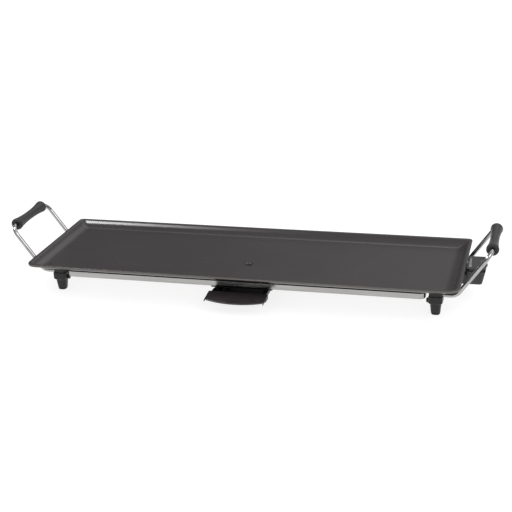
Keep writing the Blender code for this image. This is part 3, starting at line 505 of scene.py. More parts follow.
def skin(rings, closed=False):
    """Join rings of points one after the other; the two ends are capped unless closed."""
    bm = bmesh.new()
    loops = [[bm.verts.new(point) for point in ring] for ring in rings]
    pairs = list(zip(loops, loops[1:]))
    if closed:
        pairs.append((loops[-1], loops[0]))
    for low, high in pairs:
        for here in range(len(low)):
            there = (here + 1) % len(low)
            bm.faces.new((low[here], low[there], high[there], high[here]))
    if not closed:
        bm.faces.new(tuple(reversed(loops[0])))
        bm.faces.new(tuple(loops[-1]))
    return new_mesh(bm)


def plan_ring(half_x, half_y, radius, z, centre=(0.0, 0.0), steps=8, back_radius=None):
    points = []
    back = radius if back_radius is None else back_radius
    for side_x, side_y, start in ((1, 1, 0), (-1, 1, 90), (-1, -1, 180), (1, -1, 270)):
        bend = back if side_y > 0 else radius
        for step in range(steps + 1):
            angle = math.radians(start + 90.0 * step / steps)
            x = side_x * (half_x - bend) + bend * math.cos(angle)
            y = side_y * (half_y - bend) + bend * math.sin(angle)
            points.append((centre[0] + x, centre[1] + y, z))
    return points


def stack(profile, half, centre=(0.0, 0.0), steps=8):
    """Skin rounded rectangles; a profile point is (inset, height, front radius[, back radius])."""
    return skin([
        plan_ring(half[0] - inset, half[1] - inset, radius, z, centre, steps, *back)
        for inset, z, radius, *back in profile
    ])


def block(low, high, corner, edge, steps=5):
    """A box whose upright edges and whose top and bottom edges are rounded, both in millimetres."""
    low, high = Vector(low), Vector(high)
    radius, inset = corner * MM, edge * MM * 1.5
    inner = max(radius - edge * MM, 0.2 * MM)
    sides = [(inset, low.z, inner), (0.0, low.z, radius), (0.0, high.z, radius), (inset, high.z, inner)]
    profile = softened(sides, edge, 3)
    middle = (low + high) / 2.0
    return stack(profile, ((high - low) / 2.0)[:2], middle[:2], steps)


def turned(profile, sides=48, hollow=False, seam=0.0):
    """Revolve (radius, height) pairs about Z; a seam raises the two lines where the mould parts."""
    turn = 2.0 * math.pi / sides
    rings = []
    for radius, height, *_ in profile:
        reach = [radius + (seam if k % (sides // 2) == 0 else 0.0) for k in range(sides)]
        ring = [(reach[k] * math.cos(k * turn), reach[k] * math.sin(k * turn), height) for k in range(sides)]
        rings.append(ring)
    return skin(rings, closed=hollow)


def facing(place, direction=(0.0, 0.0, 1.0)):
    """The matrix that takes +Z to a direction and the origin to a place."""
    return Matrix.Translation(place) @ Vector(direction).to_track_quat("Z", "Y").to_matrix().to_4x4()


def moved(mesh, matrix):
    mesh.transform(matrix)
    return mesh


def put(mesh, place, direction=(0.0, 0.0, 1.0)):
    return moved(mesh, facing(place, direction))


def raised(mesh, spot, height=0.0):
    """Take a body that was made at the origin to a place in plan, and up."""
    return moved(mesh, Matrix.Translation((spot.x, spot.y, height)))


def along_x(mesh, node):
    """Lay a body that was turned about Z along +X, from the low end of a node."""
    low, _, middle = span(node)
    return put(mesh, (low.x, middle.y, middle.z), (1.0, 0.0, 0.0))


def rod(radius, start, end, sides=32, flare=0.0):
    """A round bar between two points; a flare widens its last part. Radius and flare are in millimetres."""
    start, end = Vector(start), Vector(end)
    length = (end - start).length
    radius, cone = radius * MM, 2.0 * flare * MM
    profile = [(radius, 0.0), (radius, length)]
    if flare:
        profile = [(radius, 0.0), (radius, length - cone), (radius + cone, length)]
    return put(turned(profile, sides), start, end - start)


def post(radius, spot, low, high, sides=32, flare=0.0):
    """An upright round bar between two heights."""
    return rod(radius, (spot.x, spot.y, low), (spot.x, spot.y, high), sides, flare)


def extruded(section, axis, start, end):
    """Extrude a section of two coordinates along X (0) or Y (1)."""
    return skin([[(*pair[:axis], along, *pair[axis:]) for pair in section] for along in (start, end)])


def merged(meshes):
    """Put separate closed bodies into one mesh, keeping their material numbers."""
    bm = bmesh.new()
    for mesh in meshes:
        bm.from_mesh(mesh)
    mesh = bpy.data.meshes.new("piece")
    bm.to_mesh(mesh)
    bm.free()
    return mesh


def combine(operation, base, tools):
    body = new_object("body", base)
    helpers = [new_object("helper", tool) for tool in tools]
    for helper in helpers:
        modifier = body.modifiers.new("combine", "BOOLEAN")
        modifier.operation = operation
        modifier.solver = "EXACT"
        modifier.object = helper
    mesh = bpy.data.meshes.new_from_object(body.evaluated_get(bpy.context.evaluated_depsgraph_get()))
    for thing in [body, *helpers]:
        bpy.data.objects.remove(thing, do_unlink=True)
    return mesh


def join(base, *tools):
    return combine("UNION", base, tools)


def cut(base, *tools):
    return combine("DIFFERENCE", base, tools)


def bent_path(corners, bends, steps=12):
    """Round each inner corner of a route with an arc of the given radius."""
    corners = [Vector(corner) for corner in corners]
    path = [corners[0]]
    for before, corner, after, radius in zip(corners, corners[1:], corners[2:], bends):
        inward, outward = (before - corner).normalized(), (after - corner).normalized()
        half_angle = inward.angle(outward) / 2.0
        reach = radius / math.tan(half_angle)
        middle = corner + (inward + outward).normalized() * radius / math.sin(half_angle)
        start, end = corner + inward * reach - middle, corner + outward * reach - middle
        axis = start.cross(end).normalized()
        path += [middle + Matrix.Rotation(start.angle(end) * step / steps, 3, axis) @ start
                 for step in range(steps + 1)]
    path.append(corners[-1])
    return path


def swept(path, radius, sides=32):
    """Sweep a circle along a path without twisting it."""
    rings = []
    across = (path[1] - path[0]).normalized().orthogonal().normalized()
    turn = 2.0 * math.pi / sides
    for index, place in enumerate(path):
        tangent = (path[min(index + 1, len(path) - 1)] - path[max(index - 1, 0)]).normalized()
        across = (across - tangent * across.dot(tangent)).normalized()
        beside = tangent.cross(across)
        rings.append([place + (across * math.cos(k * turn) + beside * math.sin(k * turn)) * radius
                      for k in range(sides)])
    return skin(rings)


def show(node, mesh, second=None):
    """Stand a detailed piece in for a CAD node, on the node's body and in its finish."""
    mesh.materials.append(FINISH[SLOT_OF[node]])
    if second:
        mesh.materials.append(second)
    mesh.shade_smooth()
    mesh.set_sharp_from_angle(angle=math.radians(32.0))
    piece = new_object(node + "_look", mesh)
    normals = piece.modifiers.new("normals", "WEIGHTED_NORMAL")
    normals.keep_sharp = True
    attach(piece, frame["nodes"][node]["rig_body"])
    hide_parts(node)


# ---- plate

def griddle_plate():
    #  inset, height, front corner radius, back corner radius, reach
    profile = profiled(
        6,
        (35.0, 45.5 * MM, 5.0, 4.0, 0.0),
        (20.0, 45.5 * MM, 9.0, 5.0, 3.0),
        (6.5, 55.5 * MM, 12.0, 5.5, 1.5),
        (0.0, 55.5 * MM, 17.0, 7.0, 0.9),
        (0.0, 59.0 * MM, 17.0, 7.0, 0.6),
        (5.0, 59.0 * MM, 12.0, 5.5, 2.4),
        (10.8, 53.6 * MM, 10.0, 5.0, 2.4),
        (20.5, 49.0 * MM, 9.0, 5.0, 5.0),
        (35.0, 49.0 * MM, 5.0, 4.0, 0.0),
    )
    middle = PLATE_MIDDLE
    plate = stack(profile, (PLATE_HIGH - PLATE_LOW) / 2.0, middle, 14)
    inside = PLATE_UNDER + 1.5 * MM
    bosses, holes = [], []

    def boss(node, radius, low, bore, bore_top):
        spot = span(node)[2]
        bosses.append(post(radius, spot, low, inside))
        holes.append(post(bore, spot, low - MM, bore_top, 24))

    for name, _, _ in CORNERS:
        boss("foot_screw_" + name, 5.0, 37.5 * MM, 2.2, 45.8 * MM)
        boss("pan_screw_" + name, 4.0, 28.0 * MM, 1.8, 40.0 * MM)
    for hand, _ in HANDS:
        boss("clamp_screw_" + hand, 4.5, span("element_clamp_" + hand)[1].z + GAP, 1.8, 45.5 * MM)
    for end in ENDS:
        holes.append(post(1.5, span("guard_screw_" + end)[2], 40.0 * MM, 47.6 * MM, 20))
    bosses.append(post(8.0, DRAIN, PLATE_LOW.z, inside, 48))
    probe = span("sensor_rod")[2]
    bosses.append(block((0.258, probe.y - 5.5 * MM, probe.z - 5.0 * MM), (0.288, probe.y + 5.5 * MM, inside),
                        1.5, 0.4))
    holes.append(rod(2.8, (0.250, probe.y, probe.z), (0.295, probe.y, probe.z), 24))
    drain = profiled(
        6,
        (5.0, PLATE_LOW.z - MM, 0.0),
        (5.0, COOK_TOP - 2.4 * MM, 1.6),
        (7.6, COOK_TOP + 0.25 * MM, 1.6),
        (7.6, COOK_TOP + 3.0 * MM, 0.0),
    )
    holes.append(put(turned(drain), (DRAIN.x, DRAIN.y, 0.0)))
    marks = [(x, middle.y + side * 0.088) for x in (-0.245, 0.0, 0.245) for side in (-1, 1)]
    marks += [(side * 0.318, middle.y) for side in (-1, 1)]
    pits = [post(4.0, Vector(mark), PLATE_UNDER - MM, PLATE_UNDER + 0.25 * MM) for mark in marks]
    plate = cut(join(plate, merged(bosses)), merged(holes), merged(pits))
    # faces round the rim's outer edge get the second material: a painted highlight, lighter than the coating
    for face in plate.polygons:
        if face.center.z > RIM_TOP - 3.2 * MM and abs(face.normal.z) < 0.4:
            face.material_index = 1
    return plate


# ---- heat shield, bracket and tray

def heat_shield_pan():
    low, high, middle = span("heat_shield_pan")
    #  inset, height, corner radius, reach
    profile = profiled(
        6,
        (8.0, low.z, 3.0, 0.0),
        (0.0, low.z, 8.0, 2.6),
        (0.0, high.z, 8.0, 0.3),
        (1.0, high.z, 7.0, 0.3),
        (1.0, low.z + MM, 7.0, 1.8),
        (8.0, low.z + MM, 3.0, 0.0),
    )
    pan = stack(profile, (high - low) / 2.0, middle, 10)
    floor = (low.z - MM, low.z + 3.0 * MM)
    holes = [post(10.0, DRAIN, *floor, 64)]
    for name, _, _ in CORNERS:
        for kind, radius in (("pan_screw_", 1.8), ("bracket_screw_", 1.5)):
            holes.append(post(radius, span(kind + name)[2], *floor, 24))
    guard = span("socket_guard")[2]
    holes.append(block((high.x - 3.0 * MM, guard.y - 15.0 * MM, 32.0 * MM),
                       (high.x + MM, guard.y + 15.0 * MM, high.z + MM), 0.4, 0.2))
    bead = profiled(
        5,
        (0.0, low.z + 0.4 * MM, 5.0, 0.0),
        (0.3, low.z, 4.7, 0.7),
        (1.6, low.z - 0.9 * MM, 3.4, 0.7),
        (3.6, low.z - 0.9 * MM, 1.4, 0.0),
    )
    places = [(x, middle.y + side * 0.042) for x in (-0.172, 0.172 + 3.0 * MM) for side in (-1, 0, 1)]
    beads = [stack(bead, (0.088, 5.0 * MM), place, 8) for place in places]
    pan = cut(join(pan, merged(beads)), merged(holes))
    for face in pan.polygons:
        inward = middle - face.center
        on_floor = face.center.z < low.z + 2.0 * MM
        toward = inward.z * face.normal.z if on_floor else inward.xy.dot(face.normal.xy)
        face.material_index = 1 if toward > 0.0 else 0
    return pan


def tray_bracket():
    """A top-hat channel: flanges under the pan, side walls, and rails turned inwards."""
    low, high, middle = span("tray_bracket")
    sheet = 1.2 * MM
    wall = 43.0 * MM
    rail = 39.0 * MM
    under = high.z - sheet
    flange = high.x - middle.x
    outer = [(rail, low.z), (wall + sheet, low.z), (wall + sheet, under), (flange, under), (flange, high.z)]
    inner = [(wall, under), (wall, low.z + sheet), (rail, low.z + sheet)]
    section = [(middle.x + x, z) for x, z in outer] + [(middle.x - x, z) for x, z in reversed(outer)]
    section += [(middle.x - x, z) for x, z in reversed(inner)] + [(middle.x + x, z) for x, z in inner]
    outer_reach = [0.35, 1.3, 0.5, 0.35, 0.35]
    inner_reach = [0.8, 0.5, 0.35]
    reach = outer_reach + outer_reach[::-1] + inner_reach[::-1] + inner_reach
    holes = [post(11.0, DRAIN, under - MM, high.z + MM, 64)]
    for name, _, _ in CORNERS:
        holes.append(post(1.5, span("bracket_screw_" + name)[2], under - MM, high.z + MM, 24))
    return cut(extruded(softened(section, reach, 3, closed=True), 1, low.y, high.y), merged(holes))


def lip_front(x, nose_y):
    """How far forward the lip reaches: a bow, then a notch and a pointed ear at each side."""
    beside = abs(x) / MM
    if beside <= LIP_EAR[0][0]:
        back = LIP_EAR[0][1] * (beside / LIP_EAR[0][0]) ** 2.2
    else:
        back = float(np.interp(beside, *zip(*LIP_EAR)))
    return nose_y + back * MM


def tray_lip(middle, root_y, nose_y):
    """The bowed handle lip: upright sections side by side, each with a round nose."""
    thick = 2.4 * MM
    fall = 4.5 * MM / (root_y - nose_y)
    columns = [LIP_EAR[0][0] * k / 26.0 for k in range(27)]
    columns += [46.0, 46.3, 46.6, 47.0, 47.3, 47.55, 47.8, 48.0, 48.2, 48.6]
    columns = [-x for x in columns[:0:-1]] + columns
    rings = []
    for x in columns:
        front = lip_front(x * MM, nose_y)
        trim = 0.6 * MM if abs(x) == columns[-1] else 0.0
        crown = [(y, 26.5 * MM - trim - fall * (root_y - y)) for y in np.linspace(root_y, front, 9)]
        under = [(y, z - thick + 2.0 * trim) for y, z in reversed(crown)]
        nose = softened([crown[-2], crown[-1], under[0], under[1]], 1.1, 4)
        section = crown[:-1] + nose[1:-1] + under[1:]
        rings.append([(middle.x + x * MM, y, z) for y, z in section])
    return skin(rings)


def tray_box(half_x, ends, heights, corner, bend):
    """A box with rounded upright corners, a rounded bottom edge and slightly open sides."""
    half = (half_x * MM, (ends[1] - ends[0]) / 2.0)
    plan = (span("drip_tray")[2].x, (ends[0] + ends[1]) / 2.0)
    profile = profiled(
        6,
        (8.0, heights[0], 1.5, 0.0),
        (0.6, heights[0], corner - 0.6, bend),
        (0.0, heights[1], corner, 0.35),
        (1.0, heights[1], corner - 1.0, 0.0),
    )
    return stack(profile, half, plan, 8)


def drip_tray():
    """A narrow part that runs in the rails, open into a wider tub in front of them."""
    low, high, middle = span("drip_tray")
    rails = span("tray_bracket")[0]
    wall = 1.6 * MM
    tub_front, tub_back = rails.y - 21.0 * MM, rails.y - GAP
    rim = rails.z + 2.7 * MM
    root_y = tub_front + 1.4 * MM
    hollow = (low.z + wall, high.z + MM)
    body = tray_box(37.8, (tub_front + MM, high.y), (low.z, rim), 6.0, 3.0)
    tub = tray_box(45.0, (tub_front, tub_back), (low.z, 25.2 * MM), 5.0, 3.0)
    flange = block((middle.x - 42.4 * MM, tub_back - 0.7 * MM, rim - 1.2 * MM),
                   (middle.x + 42.4 * MM, high.y, rim - 0.01 * MM), 1.2, 0.3)
    channel = tray_box(36.2, (tub_front + wall + 4.0 * MM, high.y - wall), hollow, 4.5, 2.4)
    basin = tray_box(43.4, (tub_front + wall, tub_back - wall), hollow, 3.5, 2.4)
    tray = cut(join(body, flange, tub, tray_lip(middle, root_y, low.y)), channel, basin)
    # the tub and channel behind the lip take the second material: the same enamel painted darker, as painted
    # shade
    for face in tray.polygons:
        face.material_index = 0 if face.center.y < root_y - 0.1 * MM else 1
    return tray


# ---- feet and handles

def foot(name, side_x, side_y):
    low, high, _ = span("foot_" + name)
    spot = span("foot_tip_" + name)[2]
    half = 11.0 * MM
    #  inset, height, corner radius, reach
    profile = profiled(
        4,
        (5.0, low.z, 4.3, 0.0),
        (3.75, low.z, 5.5, 0.4),
        (2.5, 17.9 * MM, 5.0, 1.0),
        (0.0, 20.5 * MM, 3.5, 1.2),
        (0.0, 31.0 * MM, 3.5, 0.5),
        (1.1, 31.8 * MM, 3.0, 0.5),
        (1.1, high.z, 3.0, 0.4),
        (2.6, high.z, 1.6, 0.0),
    )
    wire = span("handle_wire_left")[0].z + 3.5 * MM
    lug_z = 22.0 * MM

    def outward(reach, height):
        return spot.x + side_x * reach * MM, spot.y, height

    lug = turned(softened(mm((3.8, 0.0), (3.8, 14.5), (1.5, 14.5)), 1.0, 5))
    lug = put(lug, (spot.x, spot.y, lug_z), (-side_x, 0.0, 0.0))
    dimple = rod(1.3, outward(-14.0, lug_z), outward(-16.0, lug_z), 24)
    wells = [
        post(5.3, spot, 37.2 * MM, high.z + MM),
        post(2.2, spot, 20.0 * MM, high.z, 24),
        post(4.0, spot, 0.0, span("foot_screw_" + name)[0].z + 2.7 * MM),
    ]
    socket = rod(3.8, outward(5.0, wire), outward(11.4, wire), flare=0.4)
    grub = span("handle_set_screw_" + name)[2]
    key = rod(1.8, (grub.x, spot.y, wire), (grub.x, spot.y - side_y * 20.0 * MM, wire), 24)
    return cut(join(stack(profile, (half, half), spot, 8), lug), dimple, *wells, socket, key)


def foot_tip(name):
    """A rubber pad with a stem that plugs the screw well, and a ring pressed into its sole."""
    low, high, middle = span("foot_tip_" + name)
    half = (high.x - low.x) / 2.0
    profile = profiled(5, (3.0, 0.0, 3.0, 0.0), (1.0, 0.0, 4.6, 1.0), (0.0, 3.0 * MM, 5.5, 0.4),
                       (2.5, 3.0 * MM, 3.2, 0.0))
    pad = stack(profile, (half, half), middle, 8)
    ring = turned(mm((3.2, -0.2), (4.2, -0.2), (4.2, 0.5), (3.2, 0.5)), 32, hollow=True)
    stem = post(3.7, middle, 1.5 * MM, high.z)
    return cut(join(pad, stem), put(ring, (middle.x, middle.y, 0.0)))


def grub_screw(name):
    """Its point is away from the plate's middle, and its hexagon socket faces the middle."""
    low, high, middle = span("handle_set_screw_" + name)
    head, point = sorted((low.y, high.y), key=lambda y: abs(y - PLATE_MIDDLE.y))
    length = abs(head - point)
    profile = [(1.1 * MM, 0.0), (1.5 * MM, 0.5 * MM), (1.5 * MM, length - 0.2 * MM), (1.3 * MM, length)]
    socket = moved(turned(mm((0.8, 0.0), (0.8, 3.0)), 6), Matrix.Translation((0.0, 0.0, length - 1.8 * MM)))
    return put(cut(turned(profile, 24), socket), (middle.x, point, middle.z), (0.0, head - point, 0.0))


def handle_wire(hand, side):
    low, high, _ = span("handle_wire_" + hand)
    radius = 3.5 * MM
    inner_x = low.x if side > 0 else high.x
    grip = span("handle_grip_" + hand)[2]
    front, back = low.y + radius, high.y - radius
    bottom = low.z + radius
    knee = side * 341.5 * MM
    corners = ((inner_x, front, bottom), (knee, front, bottom), (grip.x, front, grip.z),
               (grip.x, back, grip.z), (knee, back, bottom), (inner_x, back, bottom))
    return swept(bent_path(corners, [16.0 * MM] * 4, 14), radius, 36)


def handle_grip(hand):
    """A waisted sleeve with flared, rounded ends, a sunk end face and two mould lines."""
    low, high, middle = span("handle_grip_" + hand)
    half = (high.y - low.y) / 2.0
    seam = 0.1 * MM
    end_radius = (high.x - low.x) / 2.0 - seam
    waist = 7.1 * MM - seam
    flare = half - 3.2 * MM
    sunk = half - 1.3 * MM
    shares = [-1.0 + 2.0 * step / 28 for step in range(29)]
    swell = [(waist + (end_radius - waist) * abs(share) ** 2.3, share * flare) for share in shares]
    rim = [(end_radius, flare), (end_radius, half), (6.4 * MM, half), (5.9 * MM, sunk), (3.8 * MM, sunk)]
    tip = softened(rim, [0, 2.9, 0.4, 0.3, 0], 6)[1:]
    profile = [(radius, -height) for radius, height in reversed(tip)] + swell + tip
    return put(turned(profile, 64, hollow=True, seam=seam), middle, (0.0, 1.0, 0.0))


# ---- heating element and its guard

def heating_element():
    low, high, middle = span("heating_element")
    radius = 3.3 * MM
    top = high.z - radius
    pins = [span("terminal_pin_" + end)[2] for end in ENDS]
    terminal = pins[0].z
    left, run = low.x + radius, 45.0 * MM
    half = [(high.x, terminal), (0.282, terminal), (0.270, top), (0.256, top)]
    corners = [(x, pins[1].y, z) for x, z in half]
    corners += [(0.235, middle.y + run, top), (left, middle.y + run, top)]
    corners += [(left, middle.y - run, top), (0.235, middle.y - run, top)]
    corners += [(x, pins[0].y, z) for x, z in reversed(half)]
    bends = [8.0 * MM] * 4 + [20.0 * MM] * 2 + [8.0 * MM] * 4
    return swept(bent_path(corners, bends, 8), radius, 24)


def terminal_pin(end):
    node = "terminal_pin_" + end
    low, high, _ = span(node)
    length = high.x - low.x
    radius = (high.z - low.z) / 2.0
    profile = [(radius, 0.0), (radius, length - 1.4 * MM), (0.5 * MM, length)]
    return along_x(turned(softened(profile, 1.2, 6), 32), node)


def insulator(end):
    profile = mm((4.4, 0.0), (4.4, 2.5), (3.2, 6.0), (2.3, 6.0), (2.3, 0.0))
    bush = turned(softened(profile, 0.35, 3, closed=True), 40, hollow=True)
    return along_x(bush, "insulator_" + end)


def socket_guard():
    """A sheet channel under the plate that shields the terminals and guides the probe."""
    low, high, middle = span("socket_guard")
    sheet = MM
    wall = 25.5 * MM
    top = high.z
    half = [(wall, low.z), (wall, top - sheet), (wall + 10.0 * MM, top - sheet), (wall + 10.0 * MM, top),
            (wall - sheet, top), (wall - sheet, low.z + sheet)]
    reach = [1.6, 0.5, 0.3, 0.3, 1.4, 0.7]
    section = [(middle.y + y, z) for y, z in half] + [(middle.y - y, z) for y, z in reversed(half)]
    channel = extruded(softened(section, reach + reach[::-1], 4, closed=True), 0, low.x, high.x)
    holes = [post(1.5, span("guard_screw_" + end)[2], top - 3.0 * MM, top + MM, 24) for end in ENDS]
    return cut(channel, merged(holes))


def element_clamp(hand):
    low, high, middle = span("element_clamp_" + hand)
    return cut(block(low, high, 3.0, 0.3), post(1.8, middle, low.z - MM, high.z + MM))


# ---- screws

def screw(node):
    """A domed cross-recessed head below, and a threaded shank that points up."""
    low, high, middle = span(node)
    head = (high.x - low.x) / 2.0
    thick = 0.58 * head
    shank = 0.53 * head
    length = high.z - low.z
    dome = [(0.05 * MM, 0.0), (head * 0.55, 0.02 * MM), (head * 0.93, thick * 0.42), (head, thick * 0.8),
            (head, thick), (shank * 0.9, thick)]
    profile = softened(dome, [0, 0.6, 0.4, 0.2, 0.08, 0], 3)
    pitch = 0.7 * MM
    root = shank * 0.84
    height = thick + 0.5 * pitch
    while height < length - pitch:
        profile += [(root, height), (shank, height + 0.35 * pitch), (root, height + 0.7 * pitch)]
        height += pitch
    profile += [(shank * 0.8, length - 0.4 * pitch), (shank * 0.5, length)]
    arm, width, depth = head * 0.52, head * 0.10, thick * 0.62
    quarter = [(arm, -width), (arm, width), (width, width)]
    cross = []
    for _ in range(4):
        cross += quarter
        quarter = [(-y, x) for x, y in quarter]
    recess = skin([[(x, y, -0.3 * MM) for x, y in cross], [(x * 0.45, y * 0.75, depth) for x, y in cross]])
    return raised(cut(turned(profile, 28), recess), middle, low.z)


# ---- thermostat probe

BODY_LOW, BODY_HIGH, BODY_MIDDLE = span("probe_housing_upper")
PROBE_LOW = span("probe_housing_lower")[0]
PROBE_HALF = Vector((BODY_HIGH.x - BODY_LOW.x, BODY_HIGH.y - BODY_LOW.y)) / 2.0
SPLIT_LOW = span("probe_housing_lower")[1].z
SPLIT_HIGH = SPLIT_LOW + 4.6 * MM
DIAL_LOW, DIAL_HIGH, DIAL_MIDDLE = span("temperature_dial")
DIAL_RADIUS = (DIAL_HIGH.x - DIAL_LOW.x) / 2.0


def probe_shell(*rows):
    """Skin the probe's plan; a row is (inset, height, draw of the free end, corner, reach)."""
    rings = []
    for inset, height, draw, corner in profiled(4, *rows):
        half_x = PROBE_HALF.x - inset - draw / 2.0
        centre = (BODY_MIDDLE.x - draw / 2.0, BODY_MIDDLE.y)
        rings.append(plan_ring(half_x, PROBE_HALF.y - inset, max(corner, 0.5 * MM), height, centre))
    return skin(rings)


def probe_housing_lower():
    """A tub that narrows into a shoulder under the rim and a nose in the socket guard."""
    bottom = PROBE_LOW.z
    shell = probe_shell(
        (4.0, bottom, 5.0, 1.5, 0.0),
        (0.0, bottom, 5.0, 4.0, 1.5),
        (0.0, SPLIT_LOW, 0.0, 4.0, 0.5),
        (1.6, SPLIT_LOW, 0.0, 2.4, 0.0),
    )

    def under_rim(front, back, half, height, corner):
        return block((front, BODY_MIDDLE.y - half, bottom + 0.2 * MM), (back, BODY_MIDDLE.y + half, height),
                     corner, 0.6)

    def bore(node, radius):
        spot = span(node)[2]
        return rod(radius, (0.300, spot.y, spot.z), (BODY_LOW.x + 4.5 * MM, spot.y, spot.z))

    nose = under_rim(PROBE_LOW.x, BODY_LOW.x + MM, 22.5 * MM, bottom + 12.2 * MM, 0.9)
    shoulder = under_rim(BODY_LOW.x - 18.0 * MM, BODY_LOW.x + 1.2 * MM, 26.5 * MM, 46.0 * MM, 1.4)
    wall = 1.7
    cavity = probe_shell(
        (wall + 3.0, bottom + wall * MM, 4.8, 1.5, 0.0),
        (wall, bottom + wall * MM, 4.8, 2.3, 1.0),
        (wall, SPLIT_LOW + MM, 0.0, 2.3, 0.0),
    )
    holes = [bore("sensor_rod", 2.8)]
    for end in ENDS:
        holes.append(bore("contact_socket_" + end, 3.4))
        holes.append(post(1.5, span("probe_screw_" + end)[2], bottom - MM, SPLIT_LOW + MM, 24))
    gland = span("cord_gland")[2]
    wall_y = BODY_HIGH.y
    holes.append(rod(4.3, (gland.x, wall_y - 7.0 * MM, gland.z), (gland.x, wall_y + 3.0 * MM, gland.z)))
    grooves = [
        block((BODY_LOW.x + x * MM, BODY_LOW.y - 0.5 * MM, bottom + 4.0 * MM),
              (BODY_LOW.x + (x + 1.2) * MM, BODY_LOW.y + 0.5 * MM, SPLIT_LOW - 2.5 * MM), 0.3, 0.2, 3)
        for x in (17.0, 20.0, 23.0, 26.0)
    ]
    return cut(join(shell, nose, shoulder), cavity, *holes, merged(grooves))


def probe_housing_upper():
    """The cover: a cap with a drawn-in skirt, open below, and a slot where the dial comes out."""
    top = BODY_HIGH.z
    split = SPLIT_LOW + GAP
    shell = probe_shell(
        (6.0, split, 0.0, 1.0, 0.0),
        (3.0, split, 0.0, 1.2, 0.2),
        (3.0, SPLIT_HIGH, 0.0, 1.2, 0.5),
        (0.0, SPLIT_HIGH + 0.2 * MM, 0.0, 4.0, 0.3),
        (0.0, top, 0.0, 4.0, 1.2),
        (5.0, top, 0.0, 1.5, 0.0),
    )
    cavity = probe_shell((4.6, SPLIT_LOW - MM, 0.0, 1.2, 0.0), (4.6, top - 1.5 * MM, 0.0, 1.2, 0.0))
    posts, holes = [], []
    for end in ENDS:
        spot = span("probe_screw_" + end)[2]
        posts.append(post(2.4, spot, 38.0 * MM, top - MM, 24))
        holes.append(post(1.5, spot, 37.0 * MM, top - 2.5 * MM, 24))
    slot = post(DIAL_RADIUS / MM + 0.8, DIAL_MIDDLE, SPLIT_LOW - MM, SPLIT_HIGH + 0.1 * MM, 96)
    lamp_hole = post(2.2, span("pilot_lens")[2], top - 4.0 * MM, top + 0.5 * MM, 40, 0.3)
    cover = cut(join(cut(shell, cavity), *posts), slot, lamp_hole, *holes)
    return merged([cover, *dial_scale(top)])


def dial_scale(top):
    """Printed ticks that grow along the cover's inner edge, from low heat to high."""
    ticks = []
    for k in range(8):
        y = BODY_MIDDLE.y + 15.5 * MM - k * 4.9 * MM
        length = (1.6 + 0.42 * k) * MM
        start = BODY_LOW.x + 3.2 * MM
        tick = block((start, y - 0.6 * MM, top - 0.1 * MM), (start + length, y + 0.6 * MM, top + 0.05 * MM),
                     0.25, 0.02, 3)
        for face in tick.polygons:
            face.material_index = 1
        ticks.append(tick)
    return ticks


def temperature_dial():
    """A knurled thumbwheel around Z, with a hub bore below."""
    ribs, fine = 30, 8
    low, high = DIAL_LOW.z, DIAL_HIGH.z
    rings = []
    for inset, height in softened([(8.0 * MM, low), (0.0, low), (0.0, high), (8.0 * MM, high)], 0.9, 4):
        ring = []
        for k in range(ribs * fine):
            angle = 2.0 * math.pi * k / (ribs * fine)
            dip = 0.6 * MM * math.sin(math.pi * k / fine) ** 2 if inset < 2.0 * MM else 0.0
            reach = DIAL_RADIUS - inset - dip
            ring.append((reach * math.cos(angle), reach * math.sin(angle), height))
        rings.append(ring)
    bore = rod(2.3, (0.0, 0.0, low - MM), (0.0, 0.0, high - 1.5 * MM))
    return raised(cut(skin(rings), bore), DIAL_MIDDLE)


def contact_socket(end):
    node = "contact_socket_" + end
    low, high, _ = span(node)
    length = high.x - low.x
    profile = [(3.1 * MM, 0.0), (3.1 * MM, length), (2.3 * MM, length), (2.3 * MM, 0.0)]
    return along_x(turned(softened(profile, 0.3, 3, closed=True), 40, hollow=True), node)


def sensor_rod():
    """A rod with a round tip and a groove near its root."""
    low, high, _ = span("sensor_rod")
    length = high.x - low.x
    full, groove = 2.5 * MM, 2.25 * MM
    profile = softened([(0.3 * MM, 0.0), (full, 0.0), (full, length)], 2.0, 8)[:-1]
    profile += [(full, length - 34.0 * MM), (groove, length - 33.6 * MM), (groove, length - 33.0 * MM),
                (full, length - 32.6 * MM), (full, length)]
    return along_x(turned(profile, 32), "sensor_rod")


def cord_gland():
    """A ribbed bush along Y, with a flange inside the housing wall and a cone outside it."""
    middle = span("cord_gland")[2]
    profile = mm((5.0, -3.5), (5.0, -2.1), (4.0, -2.1), (4.0, 0.3), (6.0, 0.3), (6.0, 2.0))
    for k in range(4):
        radius = (5.7 - 0.35 * k) * MM
        height = (2.2 + 1.9 * k) * MM
        valley = radius - 0.7 * MM
        profile += [(valley, height), (valley, height + 0.6 * MM), (radius, height + 0.8 * MM),
                    (radius - 0.1 * MM, height + 1.7 * MM)]
    profile += mm((4.2, 10.0), (3.0, 10.0), (3.0, -3.5))
    bush = turned(softened(profile, 0.2, 2, closed=True), 40, hollow=True)
    return put(bush, (middle.x, BODY_HIGH.y, middle.z), (0.0, 1.0, 0.0))


def pilot_lens():
    middle = span("pilot_lens")[2]
    profile = mm((2.5, -2.9), (2.5, -1.8), (1.9, -1.8), (1.9, 0.0))
    profile += [(1.9 * MM * math.cos(angle), 0.5 * MM * math.sin(angle))
                for angle in (math.radians(10.0 * k) for k in range(1, 9))]
    profile += mm((0.05, 0.5))
    return raised(turned(profile, 40), middle, BODY_HIGH.z)


def neon_lamp():
    low, _, middle = span("neon_lamp")
    profile = softened(mm((0.4, 0.0), (1.4, 0.0), (1.4, 1.4), (0.3, 1.4)), 0.6, 5)
    return raised(turned(profile, 32), middle, low.z)


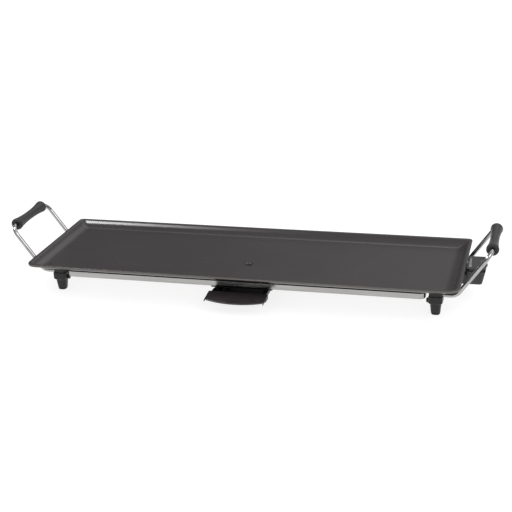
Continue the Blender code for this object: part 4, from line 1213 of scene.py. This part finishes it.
def thermostat_switch():
    low, high, middle = span("thermostat_switch")
    slots = [block((low.x - MM, y, high.z - 1.4 * MM), (high.x + MM, y + MM, high.z + MM), 0.2, 0.1, 3)
             for y in (middle.y - 5.5 * MM, middle.y + 4.5 * MM)]
    return cut(block(low, high, 1.0, 0.4), merged(slots))


def terminal_block():
    low, high, middle = span("terminal_block")
    places = [middle + Vector((side * 3.6 * MM, 0.0, 0.0)) for side in (-1, 1)]
    wells = [post(1.9, place, high.z - 2.5 * MM, high.z + MM, 24) for place in places]
    return cut(block(low, high, 0.8, 0.4), merged(wells))


def dial_spindle():
    low, high, middle = span("dial_spindle")
    profile = profiled(3, (1.0, low.z, 0.0), (2.0, low.z, 0.3), (2.0, high.z, 0.3), (1.0, high.z, 0.0))
    return raised(turned(profile, 32), middle)


# ---- everything in its place

def show_pieces():
    # the plate's second material is the painted highlight on the rim's outer edge
    show("griddle_plate", griddle_plate(), second=rim_edge().material)
    show("heat_shield_pan", heat_shield_pan(), second=pan_inside().material)
    show("tray_bracket", tray_bracket())
    # the tray's second material is its enamel painted darker as painted shade
    show("drip_tray", drip_tray(), second=enamel("tray_painted_shade", 0.006, 0.42).material)
    show("heating_element", heating_element())
    show("socket_guard", socket_guard())
    for name, side_x, side_y in CORNERS:
        show("foot_" + name, foot(name, side_x, side_y))
        show("foot_tip_" + name, foot_tip(name))
        show("handle_set_screw_" + name, grub_screw(name))
        for kind in ("pan_screw_", "bracket_screw_", "foot_screw_"):
            show(kind + name, screw(kind + name))
    for hand, side in HANDS:
        show("handle_wire_" + hand, handle_wire(hand, side))
        show("handle_grip_" + hand, handle_grip(hand))
        show("element_clamp_" + hand, element_clamp(hand))
        show("clamp_screw_" + hand, screw("clamp_screw_" + hand))
    for end in ENDS:
        for build in (terminal_pin, insulator, contact_socket):
            show(build.__name__ + "_" + end, build(end))
        for kind in ("guard_screw_", "probe_screw_"):
            show(kind + end, screw(kind + end))
    show("probe_housing_lower", probe_housing_lower())
    show("probe_housing_upper", probe_housing_upper(), second=printed().material)
    for build in (temperature_dial, sensor_rod, cord_gland, pilot_lens, neon_lamp,
                  thermostat_switch, terminal_block, dial_spindle):
        show(build.__name__, build())


make_camera()
make_studio()
FINISH = make_finishes()
show_pieces()
